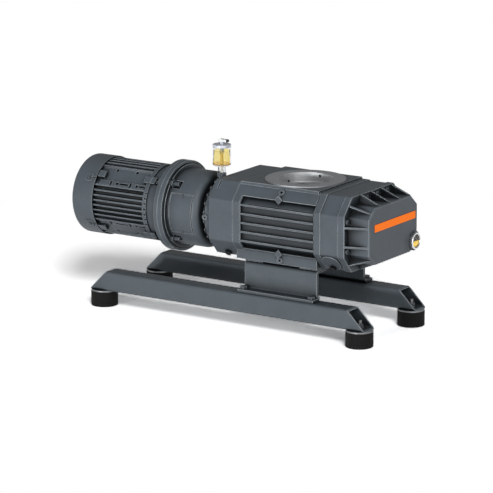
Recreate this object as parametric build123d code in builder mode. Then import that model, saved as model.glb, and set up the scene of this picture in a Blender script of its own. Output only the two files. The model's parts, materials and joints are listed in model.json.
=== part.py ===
from build123d import *
import os
from math import cos, degrees, hypot, pi, radians, sin, sqrt, tan

# Roots vacuum pump set on a rail frame: an eight-sided cast pump with two two-lobe rotors, a
# timing gear case at one end, and a flange motor on a bell housing at the other.
# All sizes are in millimetres. The origin is on the floor, midway between the four feet.
# X runs along the pump axis from the motor to the gear case, Y across it, and Z up.

# ---------------------------------------------------------------- driving sizes
# Feet and rails
foot_dia = 75
foot_height = 42
foot_edge = 3
foot_plate = 4.5
foot_pitch_x = 826
stud_dia = 12
stud_length = 26
stud_clearance = 0.5
rail_size = 55
rail_wall = 4
rail_corner = 7
rail_length = 889
rail_outset = 9.5

# Support brackets, bent from flat plate
bracket_plate = 8
bracket_bend = 12
bracket_length = 240
bracket_end_gap = 6
bracket_web_inset = 23
bracket_foot = 33
bracket_deck = 43
bracket_bolt_end = 12
bracket_bolt_reach = 16
bracket_bolt_thread = 12
deck_bolt_end = 34
deck_bolt_inset = 47
deck_bolt_grip = 20
stud_across = 19
stud_head = 7.5
washer_thick = 2.5
stud_nut = 10

# Pump casting outline, shared by the housing and the end covers
axis_height = 292
case_half_width = 148
case_half_height = 102.5
case_cut_y = 41
case_cut_z = 46
case_corner = 7
edge_break = 2.5

# Rotor housing
housing_start = 21
housing_length = 254
housing_flange = 24
rib_count = 7
rib_margin = 28.4
rib_thick = 5
rib_depth = 12
skirt_inset = 20
pad_inset = 37
pad_start = 3
pad_end = 5
pad_height = 3.5
port_x = 159
ring_dia = 219
ring_height = 3
inlet_dia = 153
inlet_seat = 26
inlet_throat = 146
outlet_dia = 102
outlet_seat = 24
outlet_throat = 96
outlet_ring_dia = 165
outlet_circle_dia = 145
outlet_bolts = 8
outlet_bolt_dia = 8
outlet_bolt_depth = 14
pump_foot_length = 54
pump_foot_width = 44
pump_foot_thick = 4.5
skirt_below = 1
pad_root = 8
lug_size = 17
lug_inset = 11
lug_root = 14
tapping_boss = 18
tapping_dia = 8
tapping_depth = 9
tapping_socket = 2.4
tapping_proud = 2.5
tapping_root = 6
tapping_slide = -14
tapping_rise = 10.5
cover_screw = 10
cover_screw_head = 8
cover_screw_socket = 4
cover_screw_grip = 20
cover_screw_rim = 21
cover_screw_top = 16.5
cover_screw_inset = 56
cover_screw_drop = 18.5
cover_screw_below = 14.5

# Rotors
rotor_pitch = 100
rotor_tip = 78
rotor_gap = 0.4
flank_half_angle = 44
flank_points = 4
end_gap = 0.3

# End covers and gear case
motor_cover_length = 78
slot_inset = 17
slot_width = 3.5
slot_length = 27
slot_depth = 7
slot_slide = 16
gear_cover_length = 75
gear_band = 22
cover_inset = 2
case_flange = 22
case_length = 63
nose_step_y = 23
nose_step_z = 25
nose_cut_y = 33
nose_cut_z = 28
case_wall = 9
gusset_thick = 5
gusset_pitch = 52
gusset_start = -64
gusset_level = 26
gusset_tip = 4
case_bolt = 8
case_bolt_across = 13
case_bolt_head = 5.6
case_bolt_rim = 11
case_bolt_below = 16.5
case_bolt_drop = 12.5
case_bolt_first = -38
strip_length = 210
strip_height = 20
strip_thick = 1
strip_y = 8
strip_level = 22
drain_boss = 28
drain_slide = 18
drain_dia = 14
drain_depth = 14
drain_head = 7
drain_boss_proud = 1
motor_drain_inset = 45
gear_drain_inset = 46
gussets_on_top = 4
slope_gusset_height = 24
case_bolt_grip = 14
cover_screw_bed = 14

# Shafts, bearings and timing gears
shaft_core = 24
shaft_seat = 20
shaft_neck = 17.5
shaft_drive = 14
shaft_thread = 12.5
labyrinth_gap = 0.3
bearing_outer = 40
bearing_width = 18
bearing_race = 6
bearing_lip = 8
pocket_depth = 32
gear_module = 2.5
gear_width = 30
gear_clearance = 0.5
gear_root_gap = 0.625
slinger_clearance = 6
slinger_step = 2
slinger_thick = 3
gear_hub = 25
pressure_angle = 20
nut_across = 36
nut_width = 12

# Seal flange, bell housing and coupling
seal_flange_radius = 95
seal_flange_thick = 16
seal_hub_radius = 50
seal_hub_length = 17
seal_spigot_length = 14
seal_bolt = 10
seal_bolt_head = 6.4
seal_bolt_grip = 14
seal_bolt_radius = 86
seal_bolt_angles = (38, 70, 152)
seal_bore = 30
seal_lip = 4
seal_width = 10
seal_inset = 2
seal_reach = 3
oil_boss = 24
oil_boss_inset = 5
port_boss_inset = -3
oil_boss_reach = 97
port_boss = 16
port_hole = 6
port_reach = 98
bell_length = 134.5
bell_radius = 105
bell_inner = 86
bell_neck = 75
bell_neck_length = 17
bell_shoulder = 22
bell_flange = 15
bell_step = 4
bell_step_radius = 115.5
bell_rim_radius = 119
bell_groove = 3
bell_window_length = 58
bell_window_angle = 52
bell_cover_angle = 60
bell_cover_length = 70
bell_cover_thick = 3
bell_cover_bed = 2
bell_cover_gap = 1.6
screw_edge_angle = 28
bell_wall_end = 7
bell_window_shift = 5
bell_pocket_length = 32.5
bell_bolt_pocket = 13
bell_screw_radius = 65
bell_hub_gap = 5
flange_stud = 12
stud_stand = 27.5
stud_nut_height = 9.6
motor_flange_radius = 125
motor_flange_thick = 12
stud_circle_dia = 215
motor_spigot = 90
motor_spigot_length = 4
coupling_radius = 40
hub_length = 34
spider_width = 14
spider_core = 18
nose_stand = 3.5
hub_gap = 6
claw_count = 3
claw_angle = 32

# Motor
frame_length = 188
frame_inner = 88
frame_valley = 94
frame_tip = 106.5
fin_pitch = 14
fin_thick = 4
fins_per_side = 8
end_band_length = 12
end_hole_dia = 7
end_hole_inset = 4.5
end_hole_depth = 7
foot_flat = 99
foot_flat_width = 56
ledge_width = 15
ledge_rise = 3
ledge_start = 24
ledge_end = 16
ledge_gap = 6
ledge_gap_shift = 21
ledge_slot_length = 30
ledge_slot_width = 5
ledge_slot_shift = 22
shield_radius = 103
shield_length = 38.5
core_length = 110
core_inset = 36
core_outer = 88
air_gap = 0.6
core_bore = 58
cowl_radius = 110
cowl_length = 73
cowl_wall = 2
cowl_round = 14
cowl_lap = 11
cowl_pad_angle = 36
cowl_pad_inset = 21
cowl_pad_rise = 1.5
cowl_slit = 1.8
grille_radius = 82
grille_rise = 16
grille_wall = 3
grille_round = 9
grille_radii = (64, 46, 28)
fan_inset = 12
cowl_pad_length = 24
cowl_pad_width = 24
grille_slot = 10
grille_bar = 8
small_screw = 4
fan_radius = 92
fan_hub = 18
fan_hub_length = 20
fan_disc = 60
fan_disc_thick = 2.5
fan_blades = 8
fan_blade_thick = 3
motor_shaft_seat = 15
motor_shaft_core = 19
motor_bearing = 31
motor_bearing_width = 16
motor_race = 5
motor_nose = 14
motor_nose_reach = 60
motor_nose_gap = 3
motor_tail = 12
end_shield_wall = 10
tie_lug_length = 14
tie_bolt_end = 20
tie_lug_width = 20
tie_lug_outer = 106
end_lug_outer = 109
end_lug_length = 22
tie_bolt = 8
tie_bolt_radius = 99
winding_outer = 84
winding_inner = 62
winding_length = 24
cage_outer = 56
cage_inner = 35
cage_length = 8
lift_hole = 9
lift_hole_inset = 81
lift_hole_step = 65
lift_hole_pitch = 44
lift_hole_stagger = 20
lift_hole_depth = 10
box_length = 100
box_height = 96
box_depth = 50
box_lid = 8
box_wall = 4
box_start = 58
box_offset = 96
gland_radius = 15
gland_bore = 7

# Drip-feed oiler
oiler_radius = 25.5
oiler_cup_height = 52
oiler_wall = 2.5
oiler_round = 6
oiler_lid = 8
feed_radius = 11
feed_height = 20
feed_wall = 2.5
oil_tube = 4
fitting_height = 8
fitting_radius = 12
oiler_neck = 8
oiler_neck_width = 4
lever_length = 28
lever_width = 9
lever_height = 8
lever_tail = 7
lever_fork = 13
lever_pin = 3
pin_gap = 0.1
lever_raise = 10

# Sight glass on the gear case
sight_inset = 15
sight_above = 27.5
sight_radius = 23.5
sight_boss = 27
sight_proud = 2
sight_ring = 6
sight_pane = 18
sight_window = 12
sight_thread = 16
sight_seat = 6
sight_shoulder = 1
sight_glass = 3

# General
running_gap = 0.3
plug_across = 17

# ---------------------------------------------------------------- places that follow
os.makedirs("parts", exist_ok=True)

rail_bottom = foot_height + foot_plate
rail_top = rail_bottom + rail_size
drive_y = -rotor_pitch / 2
idler_y = rotor_pitch / 2

housing_end = housing_start + housing_length
motor_cover_start = housing_start - motor_cover_length
gear_cover_end = housing_end + gear_cover_length
case_flange_end = gear_cover_end + case_flange
case_front = case_flange_end + case_length
case_top = axis_height + case_half_height
skirt_depth = case_half_height + skirt_below
deck_top = axis_height - skirt_depth - pump_foot_thick
deck_height = deck_top - rail_top
bracket_web_pitch = 2 * (case_half_width - bracket_web_inset)
rail_pitch = bracket_web_pitch + 2 * rail_outset
bracket_bolt_y = bracket_web_pitch / 2 + bracket_bolt_reach
deck_bolt_y = case_half_width - deck_bolt_inset
bracket_bolt_pitch = bracket_length - 2 * bracket_bolt_end
deck_bolt_pitch = bracket_length - 2 * deck_bolt_end
bracket_bolt_xs = (port_x - bracket_bolt_pitch / 2, port_x + bracket_bolt_pitch / 2)
deck_bolt_xs = (port_x - deck_bolt_pitch / 2, port_x + deck_bolt_pitch / 2)
case_half_y = case_half_width - nose_step_y
case_half_z = case_half_height - nose_step_z
skirt_half_width = case_half_width - skirt_inset
pad_half_width = case_half_width - pad_inset
pad_top = case_top + pad_height
seal_flange_start = motor_cover_start - seal_flange_thick
bell_start = seal_flange_start - bell_length
shield_end = bell_start - motor_flange_thick
frame_end = shield_end - shield_length
frame_start = frame_end - frame_length
cowl_front = frame_start + cowl_lap
cowl_rear = cowl_front - cowl_length

cover_screw_side = case_half_width - cover_screw_rim
cover_screw_rows = (
    (0, case_half_height - cover_screw_top),
    (case_half_width - cover_screw_inset, case_half_height - cover_screw_drop),
    (cover_screw_side, case_half_height - case_cut_z - cover_screw_below),
)
cover_screw_places = [
    (side_y * y, side_z * z)
    for y, z in cover_screw_rows
    for side_y in ((1,) if y == 0 else (-1, 1))
    for side_z in (-1, 1)
]
# on the motor side the two seal flange bolts nearest the front take the place of two cover screws
motor_screw_places = [place for place in cover_screw_places if place[0] != -cover_screw_side]
foot_places = [(end * foot_pitch_x / 2, side * rail_pitch / 2) for end in (-1, 1) for side in (-1, 1)]
case_bolt_side = case_half_width - case_bolt_rim
case_bolt_level = case_half_height - case_cut_z - case_bolt_below
case_bolt_top = case_half_height - case_bolt_drop
case_bolt_places = [
    *((side * case_bolt_side, level * case_bolt_level) for side in (-1, 1) for level in (-1, 1)),
    *(
        (case_bolt_first + n * gusset_pitch, level * case_bolt_top)
        for n in range(gussets_on_top - 1)
        for level in (-1, 1)
    ),
]
cut_slope = hypot(case_cut_y, case_cut_z)
labyrinth_bore = shaft_core - 2 + labyrinth_gap
motor_drain_x = motor_cover_start + motor_drain_inset
gear_drain_x = housing_end + gear_drain_inset
sight_y = case_half_y - sight_inset
sight_z = axis_height - case_half_z + sight_above
# the slinger reaches towards the nearer wall of the oil space
slinger_radius = min(case_half_z, case_half_y - idler_y) - case_wall - slinger_clearance
pitch_radius = rotor_pitch / 2
lobe_centre = (rotor_tip**2 - pitch_radius**2) / (2 * rotor_tip - 2 * pitch_radius * cos(pi / 4))
lobe_radius = rotor_tip - lobe_centre
rotor_start = housing_start + end_gap
rotor_end = housing_end - end_gap
motor_pocket_floor = motor_cover_start + pocket_depth
gear_pocket_floor = gear_cover_end - pocket_depth
gear_start = gear_cover_end + bearing_lip
gear_end = gear_start + gear_width
motor_shaft_end = bell_start + motor_nose_reach
spider_start = motor_shaft_end - nose_stand
spider_end = spider_start + spider_width
pump_hub_end = spider_end + hub_length
motor_hub_start = spider_start - hub_length
drive_neck = pump_hub_end + hub_gap
box_mid = frame_start + box_offset
core_start = frame_start + core_inset
lift_hole_first = frame_start + lift_hole_inset
lift_hole_second = lift_hole_first + lift_hole_step
cowl_pad_x = cowl_front - cowl_pad_inset
oiler_x = seal_flange_start - oil_boss_inset
port_boss_x = seal_flange_start - port_boss_inset
bell_screw_places = [
    (bell_screw_radius * side / sqrt(2), bell_screw_radius * level / sqrt(2))
    for side in (-1, 1)
    for level in (-1, 1)
]
seal_bolt_places = [
    (seal_bolt_radius * cos(radians(level * angle)), seal_bolt_radius * sin(radians(level * angle)))
    for angle in seal_bolt_angles
    for level in (-1, 1)
]


# ---------------------------------------------------------------- shared planes and outlines
def across(x, y=0.0, z=axis_height):
    """Plane square to the pump axis at station x, with its origin at (y, z) and local x along Y."""
    return Plane(origin=(x, y, z), x_dir=(0, 1, 0), z_dir=(1, 0, 0))


def radial_plane(x, angle, radius, y=drive_y):
    """Plane facing outwards from a shaft axis, at radius and at an angle measured from +Y towards +Z."""
    out_y = cos(radians(angle))
    out_z = sin(radians(angle))
    return Plane(
        origin=(x, y + radius * out_y, axis_height + radius * out_z), x_dir=(1, 0, 0), z_dir=(0, out_y, out_z)
    )


def lengthwise(y):
    """Upright plane through a shaft axis at y: local x runs along the pump and local y is the radius."""
    return Plane(origin=(0, y, axis_height), x_dir=(1, 0, 0), z_dir=(0, -1, 0))


def shaft_axis(y):
    return Axis((0, y, axis_height), (1, 0, 0))


def octagon(half_width, half_height, cut_y, cut_z):
    """Corners of an eight-sided outline about its centre."""
    return [
        (half_width, half_height - cut_z),
        (half_width - cut_y, half_height),
        (cut_y - half_width, half_height),
        (-half_width, half_height - cut_z),
        (-half_width, cut_z - half_height),
        (cut_y - half_width, -half_height),
        (half_width - cut_y, -half_height),
        (half_width, cut_z - half_height),
    ]


def case_outline(inset=0.0):
    return octagon(case_half_width - inset, case_half_height - inset, case_cut_y, case_cut_z)


def cut_plane(x, side, level, slide=0.0):
    """Plane on one of the four sloping faces: side is -1 or 1 in Y, level -1 or 1 in Z.
    slide moves the origin along the slope, away from the horizontal face."""
    mid_y = side * (case_half_width - case_cut_y / 2 + slide * case_cut_y / cut_slope)
    mid_z = axis_height + level * (case_half_height - case_cut_z / 2 - slide * case_cut_z / cut_slope)
    return Plane(origin=(x, mid_y, mid_z), x_dir=(1, 0, 0), z_dir=(0, side * case_cut_z, level * case_cut_y))


def ring(plane, outer, inner, length):
    """Plain ring or tube standing on a plane."""
    with BuildSketch(plane) as section:
        Circle(outer)
        Circle(inner, mode=Mode.SUBTRACT)
    extrude(section.sketch, amount=length)


def bolt(plane, dia, length, across_flats, head):
    """Hexagon bolt whose head stands on the plane and whose shank runs back from it."""
    with BuildSketch(plane) as shank:
        Circle(dia / 2)
    extrude(shank.sketch, amount=-length)
    with BuildSketch(plane) as hexagon:
        RegularPolygon(radius=across_flats / 2, side_count=6, major_radius=False)
    extrude(hexagon.sketch, amount=head)


def drill(plane, dia, depth):
    """Blind round hole from the plane into the part."""
    with BuildSketch(plane) as mouth:
        Circle(dia / 2)
    extrude(mouth.sketch, amount=-depth, mode=Mode.SUBTRACT)


def shaft_steps(y, start, steps):
    """Stepped round shaft about a pump axis: steps are (length, radius) from start."""
    x = start
    for length, radius in steps:
        with BuildSketch(across(x, y)) as step:
            Circle(radius)
        extrude(step.sketch, amount=length)
        x += length


# ---------------------------------------------------------------- places of the small screws
window_mid = (bell_start + seal_flange_start) / 2 - bell_window_shift
cover_face = bell_radius - bell_cover_bed + bell_cover_thick
bell_cover_screws = [
    radial_plane(window_mid, side_angle + edge_angle, cover_face)
    for side_angle in (0, 180)
    for edge_angle in (-screw_edge_angle, screw_edge_angle)
]
cowl_pad_angles = (cowl_pad_angle, 180 - cowl_pad_angle, 180 + cowl_pad_angle, -cowl_pad_angle)
cowl_screws = [radial_plane(cowl_pad_x, angle, cowl_radius + cowl_pad_rise) for angle in cowl_pad_angles]
box_back = box_start + box_depth
lid_screws = [
    Plane((box_mid + x, box_back + box_lid, axis_height + z), x_dir=(1, 0, 0), z_dir=(0, 1, 0))
    for x in (2 * box_wall - box_length / 2, box_length / 2 - 2 * box_wall)
    for z in (2 * box_wall - box_height / 2, box_height / 2 - 2 * box_wall)
]

# ---------------------------------------------------------------- rails, feet and brackets
for rail_name, rail_y in (("rail_front", -rail_pitch / 2), ("rail_rear", rail_pitch / 2)):
    bolt_y = bracket_bolt_y if rail_y > 0 else -bracket_bolt_y
    with BuildPart() as rail:
        with BuildSketch(across(-rail_length / 2, rail_y, rail_bottom + rail_size / 2)):
            RectangleRounded(rail_size, rail_size, rail_corner)
            RectangleRounded(
                rail_size - 2 * rail_wall,
                rail_size - 2 * rail_wall,
                rail_corner - rail_wall,
                mode=Mode.SUBTRACT,
            )
        extrude(amount=rail_length)
        # both ends are mitred, so the tube is longest where it stands on its feet
        with BuildSketch(Plane.XZ.offset(-rail_y)):
            Polygon(
                (-rail_length / 2, rail_bottom),
                (rail_length / 2, rail_bottom),
                (rail_length / 2 - rail_size, rail_top),
                (rail_size - rail_length / 2, rail_top),
                align=None,
            )
        extrude(amount=rail_size, both=True, mode=Mode.INTERSECT)
        with BuildSketch(Plane.XY.offset(rail_bottom)):
            with Locations((-foot_pitch_x / 2, rail_y), (foot_pitch_x / 2, rail_y)):
                Circle(stud_dia / 2 + stud_clearance)
        extrude(amount=rail_wall, mode=Mode.SUBTRACT)
        with BuildSketch(Plane.XY.offset(rail_top)):
            with Locations(*[(x, bolt_y) for x in bracket_bolt_xs]):
                Circle(stud_dia / 2 + stud_clearance)
        extrude(amount=-rail_wall, mode=Mode.SUBTRACT)
    rail.part.label = rail_name
    export_step(rail.part, f"parts/{rail_name}.step")

with BuildPart() as rubber_feet:
    with BuildSketch():
        with Locations(*foot_places):
            Circle(foot_dia / 2)
    extrude(amount=foot_height)
    fillet(rubber_feet.edges().group_by(Axis.Z)[0], radius=foot_edge)
rubber_feet.part.label = "rubber_feet"
export_step(rubber_feet.part, "parts/rubber_feet.step")

with BuildPart() as foot_plates:
    with BuildSketch(Plane.XY.offset(foot_height)):
        with Locations(*foot_places):
            Circle(foot_dia / 2 - 1)
    extrude(amount=foot_plate)
    with BuildSketch(Plane.XY.offset(rail_bottom)):
        with Locations(*foot_places):
            Circle(stud_dia / 2)
    extrude(amount=stud_length)
foot_plates.part.label = "foot_plates"
export_step(foot_plates.part, "parts/foot_plates.step")

with BuildPart() as foot_nuts:
    with BuildSketch(Plane.XY.offset(rail_bottom + rail_wall)):
        with Locations(*foot_places):
            Circle(stud_dia)
            Circle(stud_dia / 2, mode=Mode.SUBTRACT)
    extrude(amount=washer_thick)
    with BuildSketch(Plane.XY.offset(rail_bottom + rail_wall + washer_thick)):
        with Locations(*foot_places):
            RegularPolygon(radius=stud_across / 2, side_count=6, major_radius=False)
            Circle(stud_dia / 2, mode=Mode.SUBTRACT)
    extrude(amount=stud_nut)
foot_nuts.part.label = "foot_nuts"
export_step(foot_nuts.part, "parts/foot_nuts.step")

for bracket_name, side in (("bracket_front", -1), ("bracket_rear", 1)):
    web_y = side * (bracket_web_pitch - bracket_plate) / 2
    with BuildPart() as bracket:
        # Z section: foot outwards on the rail, web upright, deck inwards under the pump
        with BuildSketch(across(port_x - bracket_length / 2, 0, rail_top)):
            with BuildLine():
                FilletPolyline(
                    (web_y + side * bracket_foot, bracket_plate / 2),
                    (web_y, bracket_plate / 2),
                    (web_y, deck_height - bracket_plate / 2),
                    (web_y - side * bracket_deck, deck_height - bracket_plate / 2),
                    radius=bracket_bend - bracket_plate / 2,
                )
            trace(line_width=bracket_plate)
        extrude(amount=bracket_length)
        # the web and the deck are shorter than the foot
        with BuildSketch(Plane.XZ.offset(-web_y)):
            with Locations(
                (port_x - bracket_length / 2, rail_top + bracket_bend),
                (port_x + bracket_length / 2, rail_top + bracket_bend),
            ):
                Rectangle(2 * bracket_end_gap, deck_height, align=(Align.CENTER, Align.MIN))
        extrude(amount=2 * bracket_deck, both=True, mode=Mode.SUBTRACT)
        with BuildSketch(Plane.XY.offset(rail_top)):
            with Locations(*[(x, side * bracket_bolt_y) for x in bracket_bolt_xs]):
                Circle(stud_dia / 2 + stud_clearance)
        extrude(amount=bracket_plate, mode=Mode.SUBTRACT)
        with BuildSketch(Plane.XY.offset(deck_top)):
            with Locations(*[(x, side * deck_bolt_y) for x in deck_bolt_xs]):
                Circle(stud_dia / 2 + stud_clearance)
        extrude(amount=-bracket_plate, mode=Mode.SUBTRACT)
    bracket.part.label = bracket_name
    export_step(bracket.part, f"parts/{bracket_name}.step")

bracket_bolt_length = bracket_plate + rail_wall + bracket_bolt_thread

with BuildPart() as bracket_bolts:
    for x in bracket_bolt_xs:
        for side in (-1, 1):
            head_plane = Plane((x, side * bracket_bolt_y, rail_top + bracket_plate))
            bolt(head_plane, stud_dia, bracket_bolt_length, stud_across, stud_head)
bracket_bolts.part.label = "bracket_bolts"
export_step(bracket_bolts.part, "parts/bracket_bolts.step")

with BuildPart() as pump_foot_bolts:
    for x in deck_bolt_xs:
        for side in (-1, 1):
            head_plane = Plane((x, side * deck_bolt_y, deck_top - bracket_plate), z_dir=(0, 0, -1))
            bolt(head_plane, stud_dia, bracket_plate + deck_bolt_grip, stud_across, stud_head)
pump_foot_bolts.part.label = "pump_foot_bolts"
export_step(pump_foot_bolts.part, "parts/pump_foot_bolts.step")

# ---------------------------------------------------------------- rotor housing
rotor_chamber = [(drive_y, 0), (idler_y, 0)]
tapping_level = axis_height - skirt_depth + tapping_rise
rib_pitch = 2 * (case_half_height - rib_margin) / (rib_count - 1)
rib_levels = [(n - (rib_count - 1) / 2) * rib_pitch for n in range(rib_count)]
band_level = rib_levels[-1] + rib_thick / 2
cut_run = case_cut_y / case_cut_z
valley_shift = rib_depth * cut_slope / case_cut_z


def slope_y(level, inset=0.0):
    """Half width of the sloping face at a height above the axis, moved inwards by inset along Y."""
    return case_half_width - case_cut_y - inset + (case_half_height - level) * cut_run


valley_wall = case_half_width - rib_depth
valley_level = case_half_height - (valley_wall - slope_y(case_half_height, valley_shift)) / cut_run
barrel_half = [
    (0, case_half_height),
    (slope_y(case_half_height), case_half_height),
    (slope_y(band_level), band_level),
    (slope_y(band_level, valley_shift), band_level),
    (valley_wall, valley_level),
    (valley_wall, -valley_level),
    (slope_y(band_level, valley_shift), -band_level),
    (skirt_half_width, -band_level),
    (skirt_half_width, -skirt_depth),
    (0, -skirt_depth),
]

with BuildPart() as rotor_housing:
    with BuildSketch(across(housing_start)) as flange_outline:
        Polygon(*case_outline(), align=None)
        fillet(flange_outline.vertices(), radius=case_corner)
    extrude(amount=housing_flange)
    chamfer(rotor_housing.faces().sort_by(Axis.X)[-1].edges(), length=edge_break)
    # barrel between the flange and the gear end, with a skirt down to the feet
    with BuildSketch(across(housing_start)):
        with BuildLine():
            Polyline(*barrel_half, close=False)
            mirror(about=Plane.YZ)
        make_face()
    extrude(amount=housing_length)
    # cooling ribs run lengthwise and end on the same eight-sided outline
    with BuildSketch(across(housing_start)):
        with Locations(*[(0, level) for level in rib_levels]):
            Rectangle(2 * case_half_width, rib_thick)
        Polygon(*case_outline(), align=None, mode=Mode.INTERSECT)
    extrude(amount=housing_length)
    # raised pad on top, and the machined inlet ring on it
    with BuildSketch(Plane.XY.offset(pad_top)):
        with Locations(((housing_start + pad_start + housing_end - pad_end) / 2, 0)):
            Rectangle(housing_length - pad_start - pad_end, 2 * pad_half_width)
    extrude(amount=-pad_height - pad_root)
    with BuildSketch(Plane.XY.offset(pad_top)):
        with Locations((port_x, 0)):
            Circle(ring_dia / 2)
    extrude(amount=ring_height)
    # four feet and the outlet ring share one machined plane on the brackets
    with BuildSketch(Plane.XY.offset(deck_top)):
        with Locations((port_x, 0)):
            with GridLocations(deck_bolt_pitch, 2 * deck_bolt_y, 2, 2):
                Rectangle(pump_foot_length, pump_foot_width)
            Circle(outlet_ring_dia / 2)
    extrude(amount=axis_height - skirt_depth - deck_top)
    # pressure tapping bosses and square casting lugs at mid length on both sides
    for side in (-1, 1):
        for level in (-1, 1):
            lug_plane = Plane(
                origin=(port_x, side * (case_half_width - lug_inset), axis_height + level * rib_levels[-1]),
                x_dir=(1, 0, 0),
                z_dir=(0, side, 0),
            )
            with BuildSketch(lug_plane):
                Rectangle(lug_size, lug_size, rotation=45)
            extrude(amount=-lug_root)
        boss_planes = (
            cut_plane(port_x, side, 1, tapping_slide),
            Plane((port_x, side * skirt_half_width, tapping_level), x_dir=(1, 0, 0), z_dir=(0, side, 0)),
        )
        for boss_plane in boss_planes:
            with BuildSketch(boss_plane.offset(-tapping_root)):
                Circle(tapping_boss / 2)
            extrude(amount=tapping_root + tapping_proud)
            drill(boss_plane.offset(tapping_proud), tapping_dia, tapping_depth)
    # rotor chamber, inlet above it and outlet below it, each bore with a shoulder that stops the pipe
    with BuildSketch(across(housing_start)):
        with Locations(*rotor_chamber):
            Circle(rotor_tip + rotor_gap)
    extrude(amount=housing_length, mode=Mode.SUBTRACT)
    with BuildSketch(Plane.XY.offset(pad_top + ring_height)):
        with Locations((port_x, 0)):
            Circle(inlet_dia / 2)
    extrude(amount=-inlet_seat, mode=Mode.SUBTRACT)
    with BuildSketch(Plane.XY.offset(pad_top + ring_height)):
        with Locations((port_x, 0)):
            Circle(inlet_throat / 2)
    extrude(amount=axis_height - pad_top - ring_height, mode=Mode.SUBTRACT)
    with BuildSketch(Plane.XY.offset(deck_top)):
        with Locations((port_x, 0)):
            Circle(outlet_dia / 2)
    extrude(amount=outlet_seat, mode=Mode.SUBTRACT)
    with BuildSketch(Plane.XY.offset(deck_top)):
        with Locations((port_x, 0)):
            Circle(outlet_throat / 2)
    extrude(amount=axis_height - deck_top, mode=Mode.SUBTRACT)
    with BuildSketch(Plane.XY.offset(deck_top)):
        with Locations((port_x, 0)):
            with PolarLocations(outlet_circle_dia / 2, outlet_bolts, start_angle=180 / outlet_bolts):
                Circle(outlet_bolt_dia / 2)
    extrude(amount=outlet_bolt_depth, mode=Mode.SUBTRACT)
    with BuildSketch(Plane.XY.offset(deck_top)):
        with Locations((port_x, 0)):
            with GridLocations(deck_bolt_pitch, 2 * deck_bolt_y, 2, 2):
                Circle(stud_dia / 2)
    extrude(amount=deck_bolt_grip, mode=Mode.SUBTRACT)
    # screw holes for the two end covers
    for x, places, depth in (
        (housing_start, motor_screw_places, cover_screw_grip),
        (housing_end, cover_screw_places, -cover_screw_grip),
    ):
        with BuildSketch(across(x)):
            with Locations(*places):
                Circle(cover_screw / 2)
        extrude(amount=depth, mode=Mode.SUBTRACT)
rotor_housing.part.label = "rotor_housing"
export_step(rotor_housing.part, "parts/rotor_housing.step")

# ---------------------------------------------------------------- end covers
with BuildPart() as motor_side_cover:
    with BuildSketch(across(motor_cover_start)) as cover_outline:
        Polygon(*case_outline(), align=None)
        fillet(cover_outline.vertices(), radius=case_corner)
    extrude(amount=motor_cover_length)
    fillet(motor_side_cover.faces().sort_by(Axis.X)[0].edges(), radius=edge_break)
    chamfer(motor_side_cover.faces().sort_by(Axis.X)[-1].edges(), length=edge_break / 2)
    # bearing pockets open towards the motor, with the shaft passages behind them
    for y in (drive_y, idler_y):
        drill(across(motor_cover_start, y).rotated((0, 180, 0)), 2 * bearing_outer, pocket_depth)
        drill(across(motor_cover_start, y).rotated((0, 180, 0)), 2 * labyrinth_bore, motor_cover_length)
    # narrow slots near the motor end of the upper slopes
    for side in (-1, 1):
        with BuildSketch(cut_plane(motor_cover_start + slot_inset, side, 1, -slot_slide)):
            Rectangle(slot_width, slot_length)
        extrude(amount=-slot_depth, mode=Mode.SUBTRACT)
    with BuildSketch(across(motor_cover_start)):
        with Locations(*motor_screw_places):
            Circle(cover_screw / 2)
    extrude(amount=motor_cover_length, mode=Mode.SUBTRACT)
    with BuildSketch(across(motor_cover_start)):
        with Locations(*motor_screw_places):
            Circle(cover_screw)
    extrude(amount=motor_cover_length - cover_screw_bed, mode=Mode.SUBTRACT)
    with BuildSketch(across(motor_cover_start, drive_y)):
        with Locations(*seal_bolt_places):
            Circle(seal_bolt / 2)
    extrude(amount=seal_bolt_grip, mode=Mode.SUBTRACT)
    drill(cut_plane(motor_drain_x, -1, -1, -drain_slide), drain_dia, drain_depth)
motor_side_cover.part.label = "motor_side_cover"
export_step(motor_side_cover.part, "parts/motor_side_cover.step")

with BuildPart() as gear_side_cover:
    with BuildSketch(across(housing_end)) as band_outline:
        Polygon(*case_outline(), align=None)
        fillet(band_outline.vertices(), radius=case_corner)
    extrude(amount=gear_band)
    chamfer(gear_side_cover.faces().sort_by(Axis.X)[0].edges(), length=edge_break)
    chamfer(gear_side_cover.faces().sort_by(Axis.X)[-1].edges(), length=edge_break / 2)
    with BuildSketch(across(housing_end)) as cover_outline:
        Polygon(*case_outline(cover_inset), align=None)
        fillet(cover_outline.vertices(), radius=case_corner)
    extrude(amount=gear_cover_length)
    # oil pocket boss on the lower slope, towards the front
    with BuildSketch(cut_plane(gear_drain_x, -1, -1).offset(drain_boss_proud)):
        Circle(drain_boss)
    extrude(amount=-drain_boss_proud - 2 * cover_inset)
    for y in (drive_y, idler_y):
        drill(across(gear_cover_end, y), 2 * bearing_outer, pocket_depth)
        drill(across(gear_cover_end, y), 2 * labyrinth_bore, gear_cover_length)
    with BuildSketch(across(gear_cover_end)):
        with Locations(*cover_screw_places):
            Circle(cover_screw / 2)
    extrude(amount=-gear_cover_length, mode=Mode.SUBTRACT)
    with BuildSketch(across(gear_cover_end)):
        with Locations(*cover_screw_places):
            Circle(cover_screw)
    extrude(amount=cover_screw_bed - gear_cover_length, mode=Mode.SUBTRACT)
    with BuildSketch(across(gear_cover_end)):
        with Locations(*case_bolt_places):
            Circle(case_bolt / 2)
    extrude(amount=-case_bolt_grip, mode=Mode.SUBTRACT)
    drill(cut_plane(gear_drain_x, -1, -1, -drain_slide).offset(drain_boss_proud), drain_dia, drain_depth)
gear_side_cover.part.label = "gear_side_cover"
export_step(gear_side_cover.part, "parts/gear_side_cover.step")

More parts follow.
